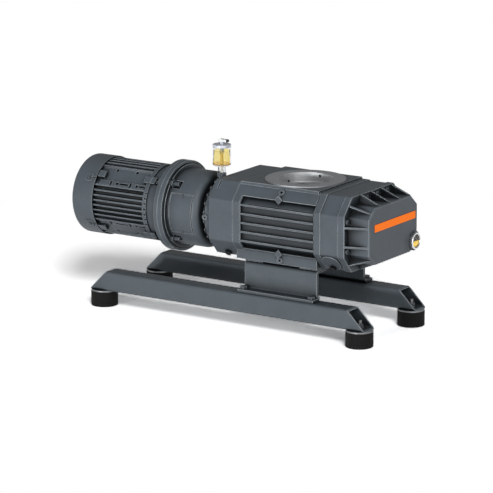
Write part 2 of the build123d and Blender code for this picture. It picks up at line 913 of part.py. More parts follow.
with BuildPart() as cover_screws:
    beds = (
        (motor_cover_start + motor_cover_length - cover_screw_bed, motor_screw_places, 180),
        (housing_end + cover_screw_bed, cover_screw_places, 0),
    )
    for x, places, turn in beds:
        for y, z in places:
            head_plane = across(x, y, axis_height + z).rotated((0, turn, 0))
            with BuildSketch(head_plane):
                Circle(cover_screw_head)
                RegularPolygon(cover_screw_socket, 6, major_radius=False, mode=Mode.SUBTRACT)
            extrude(amount=cover_screw)
            with BuildSketch(head_plane) as shank:
                Circle(cover_screw / 2)
            extrude(amount=-cover_screw_bed - cover_screw_grip + running_gap)
cover_screws.part.label = "cover_screws"
export_step(cover_screws.part, "parts/cover_screws.step")

# ---------------------------------------------------------------- gear case
nose_outline = octagon(case_half_y, case_half_z, nose_cut_y, nose_cut_z)
inner_outline = octagon(
    case_half_y - case_wall,
    case_half_z - case_wall,
    nose_cut_y - case_wall / 2,
    nose_cut_z - case_wall / 2,
)


def gusset(y, z, out_y, out_z, height):
    """Tapered stiffening rib: stands on the nose wall at (y, z), reaches out over the flange by
    height and runs down to nothing at the front rim."""
    foot = Plane(origin=(case_flange_end, y, axis_height + z), x_dir=(1, 0, 0), z_dir=(0, -out_z, out_y))
    with BuildSketch(foot) as web:
        Polygon(
            (-1, -gusset_tip),
            (-1, height - 1),
            (gusset_tip / 2, height - 1),
            (case_length - gusset_tip, edge_break / 4),
            (case_length - gusset_tip, -gusset_tip),
            align=None,
        )
    extrude(web.sketch, amount=gusset_thick / 2, both=True)


with BuildPart() as gear_case:
    with BuildSketch(across(gear_cover_end)) as flange_outline:
        Polygon(*case_outline(), align=None)
        fillet(flange_outline.vertices(), radius=case_corner)
    extrude(amount=case_flange)
    chamfer(gear_case.faces().sort_by(Axis.X)[0].edges(), length=edge_break)
    chamfer(gear_case.faces().sort_by(Axis.X)[-1].edges(), length=edge_break / 2)
    with BuildSketch(across(case_flange_end)) as nose:
        Polygon(*nose_outline, align=None)
        fillet(nose.vertices(), radius=case_corner)
    extrude(amount=case_length)
    chamfer(gear_case.faces().sort_by(Axis.X)[-1].edges(), length=edge_break)
    for side in (-1, 1):
        for level in (-gusset_level, gusset_level):
            gusset(side * case_half_y, level, side, 0, nose_step_y)
        for level in (-1, 1):
            slope = hypot(nose_cut_y, nose_cut_z)
            gusset(
                side * (case_half_y - nose_cut_y / 2),
                level * (case_half_z - nose_cut_z / 2),
                side * nose_cut_z / slope,
                level * nose_cut_y / slope,
                slope_gusset_height,
            )
    for n in range(gussets_on_top):
        for level in (-1, 1):
            gusset_y = gusset_start + n * gusset_pitch
            gusset(gusset_y, level * case_half_z, 0, level, nose_step_z)
    # sight glass boss on the oil level
    with BuildSketch(across(case_flange_end, sight_y, sight_z)):
        Circle(sight_boss)
    extrude(amount=case_length + sight_proud)
    # oil space for the timing gears
    with BuildSketch(across(gear_cover_end)):
        Polygon(*inner_outline, align=None)
    extrude(amount=case_front - gear_cover_end - case_wall, mode=Mode.SUBTRACT)
    drill(across(case_front + sight_proud, sight_y, sight_z), 2 * sight_window, case_wall + 2 * sight_proud)
    drill(across(case_front + sight_proud, sight_y, sight_z), 2 * sight_thread, sight_seat)
    with BuildSketch(across(case_flange_end)):
        with Locations(*case_bolt_places):
            Circle(case_bolt / 2 + stud_clearance)
    extrude(amount=-case_flange, mode=Mode.SUBTRACT)
    with BuildSketch(across(case_flange_end)):
        with Locations(*case_bolt_places):
            Circle(case_bolt)
    extrude(amount=case_bolt + edge_break, mode=Mode.SUBTRACT)
gear_case.part.label = "gear_case"
export_step(gear_case.part, "parts/gear_case.step")

with BuildPart() as gear_case_bolts:
    for y, z in case_bolt_places:
        head_plane = across(case_flange_end, y, axis_height + z)
        bolt(head_plane, case_bolt, case_flange + case_bolt_grip - running_gap, case_bolt_across, case_bolt_head)
gear_case_bolts.part.label = "gear_case_bolts"
export_step(gear_case_bolts.part, "parts/gear_case_bolts.step")

with BuildPart() as front_strip:
    with BuildSketch(across(case_front, strip_y, axis_height + strip_level)):
        RectangleRounded(strip_length, strip_height, strip_thick)
    extrude(amount=strip_thick)
front_strip.part.label = "front_strip"
export_step(front_strip.part, "parts/front_strip.step")

with BuildPart() as sight_bezel:
    ring(across(case_front + sight_proud, sight_y, sight_z), sight_radius, sight_pane, sight_ring)
    chamfer(sight_bezel.faces().sort_by(Axis.X)[-1].edges(), length=edge_break / 2)
    ring(across(case_front + sight_proud, sight_y, sight_z), sight_radius, sight_window, sight_shoulder)
    thread_plane = across(case_front + sight_proud - sight_seat, sight_y, sight_z)
    ring(thread_plane, sight_thread, sight_window, sight_seat)
sight_bezel.part.label = "sight_bezel"
export_step(sight_bezel.part, "parts/sight_bezel.step")

with BuildPart() as sight_pane_glass:
    with BuildSketch(across(case_front + sight_proud + sight_shoulder, sight_y, sight_z)):
        Circle(sight_pane)
    extrude(amount=sight_glass)
sight_pane_glass.part.label = "sight_pane"
export_step(sight_pane_glass.part, "parts/sight_pane.step")

with BuildPart() as drain_plugs:
    for plug_plane in (
        cut_plane(motor_drain_x, -1, -1, -drain_slide),
        cut_plane(gear_drain_x, -1, -1, -drain_slide).offset(drain_boss_proud),
    ):
        bolt(plug_plane, drain_dia, drain_depth - running_gap, plug_across, drain_head)
drain_plugs.part.label = "drain_plugs"
export_step(drain_plugs.part, "parts/drain_plugs.step")

with BuildPart() as tapping_plugs:
    for side in (-1, 1):
        for boss_plane in (
            cut_plane(port_x, side, 1, tapping_slide),
            Plane((port_x, side * skirt_half_width, tapping_level), x_dir=(1, 0, 0), z_dir=(0, side, 0)),
        ):
            with BuildSketch(boss_plane.offset(tapping_proud)):
                Circle(tapping_dia / 2)
            extrude(amount=running_gap - tapping_depth)
            with BuildSketch(boss_plane.offset(tapping_proud)):
                RegularPolygon(tapping_socket, 6, major_radius=False)
            extrude(amount=-tapping_depth / 2, mode=Mode.SUBTRACT)
tapping_plugs.part.label = "tapping_plugs"
export_step(tapping_plugs.part, "parts/tapping_plugs.step")

# ---------------------------------------------------------------- rotors, cast in one with their shafts
def waist_point(angle):
    """Point of the hollow flank. The mating lobe's arc touches it when both rotors have turned by
    angle, on the line from the arc's centre through the rolling point of the two pitch circles."""
    arc_y = rotor_pitch * cos(angle) - lobe_centre * cos(2 * angle)
    arc_z = rotor_pitch * sin(angle) - lobe_centre * sin(2 * angle)
    to_y = pitch_radius * cos(angle) - arc_y
    to_z = pitch_radius * sin(angle) - arc_z
    reach = (lobe_radius + rotor_gap) / hypot(to_y, to_z)
    return (arc_y + to_y * reach, arc_z + to_z * reach)


def lobes(y, flank_way):
    """Two lobes about the shaft axis at y, with the hollow flanks facing along flank_way."""
    steps = range(-flank_points, flank_points + 1)
    flank = [waist_point(radians(flank_half_angle * n / flank_points)) for n in steps]
    edge_y, edge_z = flank[-1]
    lobe_plane = Plane(origin=(rotor_start, y, axis_height), x_dir=flank_way, z_dir=(1, 0, 0))
    with BuildSketch(lobe_plane) as section:
        with BuildLine():
            Spline(*flank)
            ThreePointArc((edge_y, edge_z), (0, rotor_tip), (-edge_y, edge_z))
            Spline(*[(-a, -b) for a, b in flank])
            ThreePointArc((edge_y, -edge_z), (0, -rotor_tip), (-edge_y, -edge_z))
        make_face()
    extrude(section.sketch, amount=rotor_end - rotor_start)


def gear_side_steps(y, nut_start):
    """Journal on the gear side: labyrinth, bearing seat, gear seat and thread."""
    labyrinth = gear_pocket_floor - running_gap - rotor_end
    seat = bearing_width - 2 * running_gap
    gear_seat = nut_start - rotor_end - labyrinth - seat
    thread = nut_width + running_gap
    shaft_steps(
        y,
        rotor_end,
        [(labyrinth, shaft_core - 2), (seat, shaft_seat), (gear_seat, shaft_neck), (thread, shaft_thread)],
    )


def motor_side_steps(y, end_steps):
    """Journal on the motor side; end_steps are drawn up to the bearing seat."""
    labyrinth = rotor_start - motor_pocket_floor - running_gap
    seat = bearing_width - 2 * running_gap
    seat_start = motor_pocket_floor + running_gap - seat
    start = seat_start - sum(length for length, radius in end_steps)
    shaft_steps(y, start, [*end_steps, (seat, shaft_seat), (labyrinth, shaft_core - 2)])
    return seat_start


neck_length = motor_pocket_floor + 3 * running_gap - bearing_width - drive_neck

with BuildPart() as drive_rotor:
    lobes(drive_y, (0, 1, 0))
    gear_side_steps(drive_y, gear_end)
    motor_side_steps(drive_y, [(drive_neck - spider_end, shaft_drive), (neck_length, shaft_neck)])
drive_rotor.part.label = "drive_rotor"
export_step(drive_rotor.part, "parts/drive_rotor.step")

with BuildPart() as idler_rotor:
    lobes(idler_y, (0, 0, 1))
    gear_side_steps(idler_y, gear_end + slinger_step + slinger_thick)
    motor_side_steps(idler_y, [(edge_break, shaft_neck)])
idler_rotor.part.label = "idler_rotor"
export_step(idler_rotor.part, "parts/idler_rotor.step")


# ---------------------------------------------------------------- bearings
def outer_race(x, y, outer, race, lip_end, width):
    """Stationary half of a shielded bearing: outer race and its two shields."""
    ring(across(x, y), outer, outer - race, width)
    ring(across(x, y), outer - race, lip_end, running_gap * 2)
    ring(across(x + width, y), outer - race, lip_end, -running_gap * 2)


def inner_race(x, y, bore, race, width):
    ring(across(x + running_gap, y), bore + race, bore, width - 2 * running_gap)


pump_shield = shaft_seat + bearing_race + running_gap
motor_shield = motor_shaft_seat + motor_race + running_gap
motor_bearing_places = (shield_end + motor_spigot_length - bell_flange, frame_start - motor_bearing_width + 2)

with BuildPart() as outer_races:
    for y in (drive_y, idler_y):
        for x in (motor_pocket_floor - bearing_width, gear_pocket_floor):
            outer_race(x, y, bearing_outer, bearing_race, pump_shield, bearing_width)
    for x in motor_bearing_places:
        outer_race(x, drive_y, motor_bearing, motor_race, motor_shield, motor_bearing_width)
outer_races.part.label = "outer_races"
export_step(outer_races.part, "parts/outer_races.step")

with BuildPart() as drive_inner_races:
    for x in (motor_pocket_floor - bearing_width, gear_pocket_floor):
        inner_race(x, drive_y, shaft_seat, bearing_race, bearing_width)
    for x in motor_bearing_places:
        inner_race(x, drive_y, motor_shaft_seat, motor_race, motor_bearing_width)
drive_inner_races.part.label = "drive_inner_races"
export_step(drive_inner_races.part, "parts/drive_inner_races.step")

with BuildPart() as idler_inner_races:
    for x in (motor_pocket_floor - bearing_width, gear_pocket_floor):
        inner_race(x, idler_y, shaft_seat, bearing_race, bearing_width)
idler_inner_races.part.label = "idler_inner_races"
export_step(idler_inner_races.part, "parts/idler_inner_races.step")

with BuildPart() as bearing_retainers:
    for y in (drive_y, idler_y):
        race_end = gear_pocket_floor + bearing_width
        ring(across(race_end, y), bearing_outer, seal_bore, gear_cover_end - race_end)
        ring(across(gear_cover_end, y), bearing_outer + bearing_race, seal_bore, bearing_lip / 2)
bearing_retainers.part.label = "bearing_retainers"
export_step(bearing_retainers.part, "parts/bearing_retainers.step")


# ---------------------------------------------------------------- timing gears
gear_teeth = round(rotor_pitch / gear_module)


def timing_gear(y, turn):
    """Spur gear with straight-sided teeth; turn sets its teeth into the other gear's gaps."""
    tip = pitch_radius + gear_module
    root = pitch_radius - gear_module - gear_root_gap
    half_pitch_width = pi * gear_module / 4 - gear_clearance / 4
    flank_run = gear_module * tan(radians(pressure_angle))
    with BuildSketch(across(gear_start, y)) as disc:
        Circle(root)
        with PolarLocations(0, gear_teeth, start_angle=turn):
            Polygon(
                (root - 1, -half_pitch_width - flank_run - gear_clearance / 2),
                (tip, flank_run - half_pitch_width),
                (tip, half_pitch_width - flank_run),
                (root - 1, half_pitch_width + flank_run + gear_clearance / 2),
                align=None,
            )
        Circle(shaft_neck, mode=Mode.SUBTRACT)
    extrude(disc.sketch, amount=gear_width)
    hub_start = gear_pocket_floor + bearing_width - running_gap
    ring(across(hub_start, y), gear_hub, shaft_neck, gear_start - hub_start)


with BuildPart() as drive_gear:
    timing_gear(drive_y, 0)
drive_gear.part.label = "drive_gear"
export_step(drive_gear.part, "parts/drive_gear.step")

with BuildPart() as idler_gear:
    timing_gear(idler_y, 180 / gear_teeth)
idler_gear.part.label = "idler_gear"
export_step(idler_gear.part, "parts/idler_gear.step")

with BuildPart() as oil_slinger:
    ring(across(gear_end, idler_y), gear_hub, shaft_neck, slinger_step)
    ring(across(gear_end + slinger_step, idler_y), slinger_radius, shaft_neck, slinger_thick)
oil_slinger.part.label = "oil_slinger"
export_step(oil_slinger.part, "parts/oil_slinger.step")

for nut_name, y, x in (
    ("drive_gear_nut", drive_y, gear_end),
    ("idler_gear_nut", idler_y, gear_end + slinger_step + slinger_thick),
):
    with BuildPart() as gear_nut:
        with BuildSketch(across(x, y)):
            RegularPolygon(nut_across / 2, 6, major_radius=False)
            Circle(shaft_thread, mode=Mode.SUBTRACT)
        extrude(amount=nut_width)
    gear_nut.part.label = nut_name
    export_step(gear_nut.part, f"parts/{nut_name}.step")

# ---------------------------------------------------------------- seal flange
with BuildPart() as seal_flange:
    with BuildSketch(across(seal_flange_start, drive_y)):
        Circle(seal_flange_radius)
    extrude(amount=seal_flange_thick)
    chamfer(seal_flange.edges().group_by(Axis.X)[0], length=edge_break / 2)
    with BuildSketch(across(seal_flange_start, drive_y)):
        Circle(seal_hub_radius)
    extrude(amount=-seal_hub_length)
    with BuildSketch(across(motor_cover_start, drive_y)):
        Circle(bearing_outer)
    extrude(amount=seal_spigot_length)
    # upright boss for the drip-feed oiler, and a lantern port boss towards the front
    with BuildSketch(Plane((oiler_x, drive_y, axis_height + oil_boss_reach))):
        Circle(oil_boss / 2)
    extrude(amount=-oil_boss_reach)
    with BuildSketch(radial_plane(port_boss_x, 180, port_reach)):
        Circle(port_boss / 2)
    extrude(amount=-port_reach)
    # seal bore with a lip at the motor end
    with BuildSketch(across(seal_flange_start - seal_hub_length, drive_y)):
        Circle(shaft_neck + running_gap)
    extrude(amount=seal_hub_length + seal_flange_thick + seal_spigot_length, mode=Mode.SUBTRACT)
    with BuildSketch(across(seal_flange_start - seal_hub_length + seal_lip, drive_y)):
        Circle(seal_bore)
    extrude(amount=seal_hub_length + seal_flange_thick + seal_spigot_length, mode=Mode.SUBTRACT)
    drill(Plane((oiler_x, drive_y, axis_height + oil_boss_reach)), fitting_radius, oil_boss_reach - seal_bore)
    drill(radial_plane(port_boss_x, 180, port_reach), port_hole, port_reach - seal_bore)
    with BuildSketch(across(seal_flange_start, drive_y)):
        with Locations(*seal_bolt_places, *bell_screw_places):
            Circle(seal_bolt / 2)
    extrude(amount=seal_flange_thick, mode=Mode.SUBTRACT)
seal_flange.part.label = "seal_flange"
export_step(seal_flange.part, "parts/seal_flange.step")

with BuildPart() as shaft_seals:
    for x in (seal_flange_start - seal_hub_length + seal_lip + seal_inset, motor_cover_start - seal_reach):
        ring(across(x, drive_y), seal_bore, shaft_neck + running_gap, seal_width)
shaft_seals.part.label = "shaft_seals"
export_step(shaft_seals.part, "parts/shaft_seals.step")

with BuildPart() as idler_cap:
    with BuildSketch(across(motor_cover_start, idler_y)):
        Circle(bearing_outer)
    extrude(amount=seal_spigot_length)
    drill(across(motor_cover_start + seal_spigot_length, idler_y), 2 * seal_bore, seal_spigot_length - seal_lip)
idler_cap.part.label = "idler_cap"
export_step(idler_cap.part, "parts/idler_cap.step")

with BuildPart() as pump_end_bolts:
    seal_bolt_faces = (
        (seal_flange_start, seal_bolt_places, seal_flange_thick + seal_bolt_grip),
        (
            seal_flange_start - bell_neck_length - bell_wall_end,
            bell_screw_places,
            bell_neck_length + seal_flange_thick,
        ),
    )
    for x, places, length in seal_bolt_faces:
        for y, z in places:
            bolt(
                across(x, drive_y + y, axis_height + z).rotated((0, 180, 0)),
                seal_bolt,
                length - running_gap,
                plug_across,
                seal_bolt_head,
            )
pump_end_bolts.part.label = "pump_end_bolts"
export_step(pump_end_bolts.part, "parts/pump_end_bolts.step")

# ---------------------------------------------------------------- bell housing
bell_profile = [
    (seal_flange_start, bell_neck),
    (seal_flange_start - bell_neck_length, bell_neck),
    (seal_flange_start - bell_neck_length, bell_radius - bell_shoulder),
    (seal_flange_start - bell_neck_length - bell_shoulder, bell_radius),
    (bell_start + bell_flange + bell_step, bell_radius),
    (bell_start + bell_flange + bell_step, bell_step_radius),
    (bell_start + bell_flange - bell_groove, bell_step_radius),
    (bell_start + bell_flange - bell_groove, bell_rim_radius),
    (bell_start + bell_flange, bell_rim_radius),
    (bell_start + bell_flange, motor_flange_radius),
    (bell_start, motor_flange_radius),
    (bell_start, motor_spigot),
    (bell_start + motor_spigot_length, motor_spigot),
    (bell_start + motor_spigot_length, bell_inner),
    (seal_flange_start - bell_neck_length - bell_wall_end, bell_inner),
    (seal_flange_start - bell_neck_length - bell_wall_end, seal_hub_radius + bell_hub_gap),
    (seal_flange_start, seal_hub_radius + bell_hub_gap),
]


def side_sectors(angle, reach):
    """Two wedges about the drive axis, one to each side, each spanning angle."""
    rise = reach * tan(radians(angle / 2))
    for side in (-1, 1):
        Polygon((0, 0), (side * reach, -rise), (side * reach, rise), align=None)


with BuildPart() as bell_housing:
    with BuildSketch(lengthwise(drive_y)):
        Polygon(*bell_profile, align=None)
    revolve(axis=shaft_axis(drive_y))
    # the shoulder is turned to a full round
    with BuildSketch(lengthwise(drive_y)):
        with BuildLine():
            ThreePointArc(
                (seal_flange_start - bell_neck_length, bell_radius - bell_shoulder),
                (
                    seal_flange_start - bell_neck_length - bell_shoulder * (1 - sqrt(0.5)),
                    bell_radius - bell_shoulder * (1 - sqrt(0.5)),
                ),
                (seal_flange_start - bell_neck_length - bell_shoulder, bell_radius),
            )
            Line(
                (seal_flange_start - bell_neck_length - bell_shoulder, bell_radius),
                (seal_flange_start - bell_neck_length, bell_radius - bell_shoulder),
            )
        make_face()
    revolve(axis=shaft_axis(drive_y))
    with BuildSketch(across(window_mid - bell_window_length / 2, drive_y)):
        side_sectors(bell_window_angle, motor_flange_radius)
    extrude(amount=bell_window_length, mode=Mode.SUBTRACT)
    # shallow beds that the covers lie in, a little larger all round
    with BuildSketch(across(window_mid - bell_cover_length / 2 - bell_cover_gap, drive_y)):
        side_sectors(bell_cover_angle + 2 * degrees(bell_cover_gap / bell_radius), motor_flange_radius)
        Circle(bell_radius - bell_cover_bed, mode=Mode.SUBTRACT)
    extrude(amount=bell_cover_length + 2 * bell_cover_gap, mode=Mode.SUBTRACT)
    # holes for the motor studs, with pockets in the barrel for their nuts
    with BuildSketch(across(bell_start, drive_y)):
        with PolarLocations(stud_circle_dia / 2, 4, start_angle=45):
            Circle(flange_stud / 2 + stud_clearance)
    extrude(amount=bell_flange, mode=Mode.SUBTRACT)
    with BuildSketch(across(bell_start + bell_flange, drive_y)):
        with PolarLocations(stud_circle_dia / 2, 4, start_angle=45):
            Circle(bell_bolt_pocket)
    extrude(amount=bell_pocket_length, mode=Mode.SUBTRACT)
    # notches round the oiler boss and the port boss
    with BuildSketch(Plane((oiler_x, drive_y, axis_height + bell_radius))):
        Circle(oil_boss / 2 + stud_clearance)
    extrude(amount=-bell_radius, mode=Mode.SUBTRACT)
    with BuildSketch(radial_plane(port_boss_x, 180, bell_radius)):
        Circle(port_boss / 2 + stud_clearance)
    extrude(amount=-bell_radius, mode=Mode.SUBTRACT)
    with BuildSketch(across(seal_flange_start, drive_y)):
        with Locations(*bell_screw_places):
            Circle(seal_bolt / 2)
    extrude(amount=-bell_neck_length - bell_wall_end, mode=Mode.SUBTRACT)
    for head_plane in bell_cover_screws:
        drill(head_plane, small_screw, 2 * small_screw)
bell_housing.part.label = "bell_housing"
export_step(bell_housing.part, "parts/bell_housing.step")

with BuildPart() as bell_covers:
    with BuildSketch(across(window_mid - bell_cover_length / 2, drive_y)):
        side_sectors(bell_cover_angle, motor_flange_radius)
        Circle(cover_face, mode=Mode.INTERSECT)
        Circle(bell_radius - bell_cover_bed, mode=Mode.SUBTRACT)
    extrude(amount=bell_cover_length)
    for head_plane in bell_cover_screws:
        drill(head_plane, small_screw, 2 * small_screw)
bell_covers.part.label = "bell_covers"
export_step(bell_covers.part, "parts/bell_covers.step")

with BuildPart() as motor_studs:
    with BuildSketch(across(shield_end - flange_stud, drive_y)):
        with PolarLocations(stud_circle_dia / 2, 4, start_angle=45):
            Circle(flange_stud / 2)
    extrude(amount=flange_stud + motor_flange_thick + bell_flange + stud_stand)
    for x in (bell_start + bell_flange, shield_end - stud_nut_height):
        with BuildSketch(across(x, drive_y)):
            with PolarLocations(stud_circle_dia / 2, 4, start_angle=45):
                RegularPolygon(stud_across / 2, 6, major_radius=False)
        extrude(amount=stud_nut_height)
motor_studs.part.label = "motor_studs"
export_step(motor_studs.part, "parts/motor_studs.step")


# ---------------------------------------------------------------- coupling
def coupling_claws(x, turn, length):
    """Ring segments that reach from a hub in between the legs of the spider."""
    with BuildSketch(across(x, drive_y)) as claws:
        with PolarLocations(0, claw_count, start_angle=turn):
            Polygon(
                (0, 0),
                (2 * coupling_radius, -2 * coupling_radius * tan(radians(claw_angle / 2))),
                (2 * coupling_radius, 2 * coupling_radius * tan(radians(claw_angle / 2))),
                align=None,
            )
        Circle(coupling_radius, mode=Mode.INTERSECT)
        Circle(spider_core, mode=Mode.SUBTRACT)
    extrude(claws.sketch, amount=length)


with BuildPart() as pump_hub:
    ring(across(spider_end, drive_y), coupling_radius, shaft_drive, hub_length)
    chamfer(pump_hub.edges().group_by(Axis.X)[-1], length=edge_break / 2)
    coupling_claws(spider_end, 180 / claw_count, running_gap - spider_width)
pump_hub.part.label = "pump_hub"
export_step(pump_hub.part, "parts/pump_hub.step")

with BuildPart() as motor_hub:
    ring(across(motor_hub_start, drive_y), coupling_radius, motor_nose, hub_length)
    chamfer(motor_hub.edges().group_by(Axis.X)[0], length=edge_break / 2)
    coupling_claws(spider_start, 0, spider_width - running_gap)
motor_hub.part.label = "motor_hub"
export_step(motor_hub.part, "parts/motor_hub.step")

with BuildPart() as coupling_spider:
    with BuildSketch(across(spider_start, drive_y)):
        Circle(coupling_radius - edge_break)
        with PolarLocations(0, 2 * claw_count):
            Polygon(
                (0, 0),
                (2 * coupling_radius, -2 * coupling_radius * tan(radians(claw_angle / 2))),
                (2 * coupling_radius, 2 * coupling_radius * tan(radians(claw_angle / 2))),
                align=None,
                mode=Mode.SUBTRACT,
            )
        Circle(spider_core)
        Circle(shaft_drive, mode=Mode.SUBTRACT)
    extrude(amount=spider_width)
coupling_spider.part.label = "coupling_spider"
export_step(coupling_spider.part, "parts/coupling_spider.step")

# ---------------------------------------------------------------- motor
corner_angles = (45, 135, 225, 315)
shield_rim = frame_inner - case_wall / 2
front_bearing, rear_bearing = motor_bearing_places
shield_hub = motor_bearing + case_wall
front_shield_profile = [
    (bell_start + motor_spigot_length, motor_nose + motor_nose_gap),
    (bell_start + motor_spigot_length, motor_spigot),
    (bell_start, motor_spigot),
    (bell_start, motor_flange_radius),
    (shield_end, motor_flange_radius),
    (shield_end, shield_radius),
    (frame_end, shield_radius),
    (frame_end, frame_inner),
    (frame_end - motor_spigot_length, frame_inner),
    (frame_end - motor_spigot_length, shield_rim),
    (front_bearing + case_wall, shield_rim),
    (front_bearing + case_wall, shield_hub),
    (front_bearing, shield_hub),
    (front_bearing, motor_bearing),
    (front_bearing + motor_bearing_width, motor_bearing),
    (front_bearing + motor_bearing_width, motor_nose + motor_nose_gap),
]
rear_outside = frame_start - tie_bolt_end
rear_shield_profile = [
    (rear_outside, motor_tail + 1),
    (rear_outside, frame_inner),
    (rear_outside + case_wall, shield_radius - motor_spigot_length),
    (frame_start, shield_radius - motor_spigot_length),
    (frame_start, frame_inner),
    (frame_start + motor_spigot_length, frame_inner),
    (frame_start + motor_spigot_length, shield_rim),
    (rear_outside + end_shield_wall, shield_rim),
    (rear_outside + end_shield_wall, shield_hub),
    (rear_bearing + motor_bearing_width, shield_hub),
    (rear_bearing + motor_bearing_width, motor_bearing),
    (rear_bearing, motor_bearing),
    (rear_bearing, motor_tail + 1),
]


def corner_lugs(start, length, outer):
    """Four square lugs at 45 degrees round the motor for the tie bolts."""
    lug_depth = outer - frame_inner - 1
    with BuildSketch(across(start, drive_y)) as lugs:
        with PolarLocations(outer - lug_depth / 2, 4, start_angle=45):
            Rectangle(lug_depth, tie_lug_width)
    extrude(lugs.sketch, amount=length)


def corner_holes(start, radius, length):
    """Round holes or pockets on the tie bolt circle."""
    with BuildSketch(across(start, drive_y)) as holes:
        with PolarLocations(tie_bolt_radius, 4, start_angle=45):
            Circle(radius)
    extrude(holes.sketch, amount=length, mode=Mode.SUBTRACT)


with BuildPart() as front_shield:
    with BuildSketch(lengthwise(drive_y)):
        Polygon(*front_shield_profile, align=None)
    revolve(axis=shaft_axis(drive_y))
    corner_lugs(frame_end, tie_lug_length, end_lug_outer)
    corner_holes(frame_end + tie_lug_length, tie_bolt + 1, shield_length - tie_lug_length)
    corner_holes(frame_end, (tie_bolt + stud_clearance) / 2, tie_lug_length)
    with BuildSketch(across(bell_start, drive_y)):
        with PolarLocations(stud_circle_dia / 2, 4, start_angle=45):
            Circle(flange_stud / 2 + stud_clearance)
    extrude(amount=-motor_flange_thick, mode=Mode.SUBTRACT)
    with BuildSketch(across(shield_end, drive_y)):
        with PolarLocations(stud_circle_dia / 2, 4, start_angle=45):
            Circle(flange_stud)
    extrude(amount=tie_lug_length - shield_length, mode=Mode.SUBTRACT)
front_shield.part.label = "front_shield"
export_step(front_shield.part, "parts/front_shield.step")

with BuildPart() as motor_frame:
    with BuildSketch(across(frame_start, drive_y)):
        # level fins at both sides, upright fins above and below, all cut to one circle
        with GridLocations(0, fin_pitch, 1, fins_per_side):
            Rectangle(2 * frame_tip, fin_thick)
        with GridLocations(fin_pitch, 0, fins_per_side, 1):
            Rectangle(fin_thick, 2 * frame_tip)
        Circle(frame_tip, mode=Mode.INTERSECT)
        Circle(frame_valley)
        with PolarLocations((frame_inner + foot_flat) / 2, 4, start_angle=45):
            Rectangle(foot_flat - frame_inner, foot_flat_width)
    extrude(amount=frame_length)
    # full band at the drive end, with a dimple at the end of every groove
    with BuildSketch(across(frame_end, drive_y)):
        Circle(frame_tip)
    extrude(amount=-end_band_length)
    for side in (-1, 1):
        for n in range(fins_per_side - 1):
            level = (n - fins_per_side / 2 + 1) * fin_pitch
            reach = sqrt(frame_tip**2 - level**2)
            hole_x = frame_end - end_hole_inset
            hole_plane = Plane((hole_x, drive_y + side * reach, axis_height + level), z_dir=(0, side, 0))
            drill(hole_plane, end_hole_dia, end_hole_depth)
    corner_lugs(frame_start, tie_lug_length, tie_lug_outer)
    corner_lugs(cowl_front + edge_break, end_lug_length, end_lug_outer)
    corner_lugs(frame_end, -end_lug_length, end_lug_outer)
    # pedestal for the terminal box
    with BuildSketch(Plane((box_mid, box_start, axis_height), x_dir=(1, 0, 0), z_dir=(0, 1, 0))):
        RectangleRounded(box_length - 2 * edge_break, box_height - 2 * edge_break, case_corner)
    extrude(amount=drive_y - box_start)
    with BuildSketch(across(frame_start, drive_y)):
        Circle(frame_inner)
    extrude(amount=frame_length, mode=Mode.SUBTRACT)
    corner_holes(frame_start, tie_bolt / 2, tie_lug_length)
    corner_holes(frame_end, tie_bolt / 2, -tie_lug_length)
    # on all four flats a raised ledge along the side nearer the middle, in three lengths, and two
    # rows of tapped holes for feet, one on the ledge and one beside it
    ledge_first = frame_start + ledge_start
    ledge_length = frame_length - ledge_start - ledge_end
    for angle, outwards in zip(corner_angles, (-1, 1, -1, 1)):
        ledge_y = -outwards * lift_hole_pitch / 2
        with BuildSketch(radial_plane(ledge_first + ledge_length / 2, angle, foot_flat - ledge_rise)):
            with Locations((0, ledge_y)):
                Rectangle(ledge_length, ledge_width)
        extrude(amount=2 * ledge_rise)
        for x in (lift_hole_first, lift_hole_second):
            with BuildSketch(radial_plane(x, angle, foot_flat + ledge_rise)):
                with Locations((-ledge_gap_shift, ledge_y)):
                    Rectangle(ledge_gap, ledge_width)
            extrude(amount=-2 * ledge_rise, mode=Mode.SUBTRACT)
            with BuildSketch(radial_plane(x, angle, foot_flat + ledge_rise)):
                with Locations((0, ledge_y), (-lift_hole_stagger, -ledge_y)):
                    Circle(lift_hole / 2)
                with Locations((ledge_slot_shift, ledge_y)):
                    SlotOverall(ledge_slot_length, ledge_slot_width)
            extrude(amount=-lift_hole_depth, mode=Mode.SUBTRACT)
motor_frame.part.label = "motor_frame"
export_step(motor_frame.part, "parts/motor_frame.step")

with BuildPart() as rear_shield:
    with BuildSketch(lengthwise(drive_y)):
        Polygon(*rear_shield_profile, align=None)
    revolve(axis=shaft_axis(drive_y))
    corner_lugs(rear_outside, tie_bolt_end, tie_lug_outer)
    corner_holes(rear_outside, (tie_bolt + stud_clearance) / 2, tie_bolt_end)
    # lugs that carry the fan cowl
    for angle in cowl_pad_angles:
        cowl_seat = cowl_radius - cowl_wall - running_gap
        with BuildSketch(radial_plane(frame_start - tie_bolt_end / 2, angle, cowl_seat)):
            Rectangle(tie_bolt_end - 1, 2 * small_screw)
        extrude(amount=-tie_lug_width)
    for head_plane in cowl_screws:
        drill(head_plane, small_screw, 2 * small_screw)
rear_shield.part.label = "rear_shield"
export_step(rear_shield.part, "parts/rear_shield.step")

with BuildPart() as tie_bolts:
    for x, turn, grip in ((frame_end + tie_lug_length, 0, tie_lug_length), (rear_outside, 180, tie_bolt_end)):
        for angle in corner_angles:
            y = drive_y + tie_bolt_radius * cos(radians(angle))
            z = axis_height + tie_bolt_radius * sin(radians(angle))
            bolt(
                across(x, y, z).rotated((0, turn, 0)),
                tie_bolt,
                grip + tie_lug_length - running_gap,
                case_bolt_across,
                case_bolt_head,
            )
tie_bolts.part.label = "tie_bolts"
export_step(tie_bolts.part, "parts/tie_bolts.step")

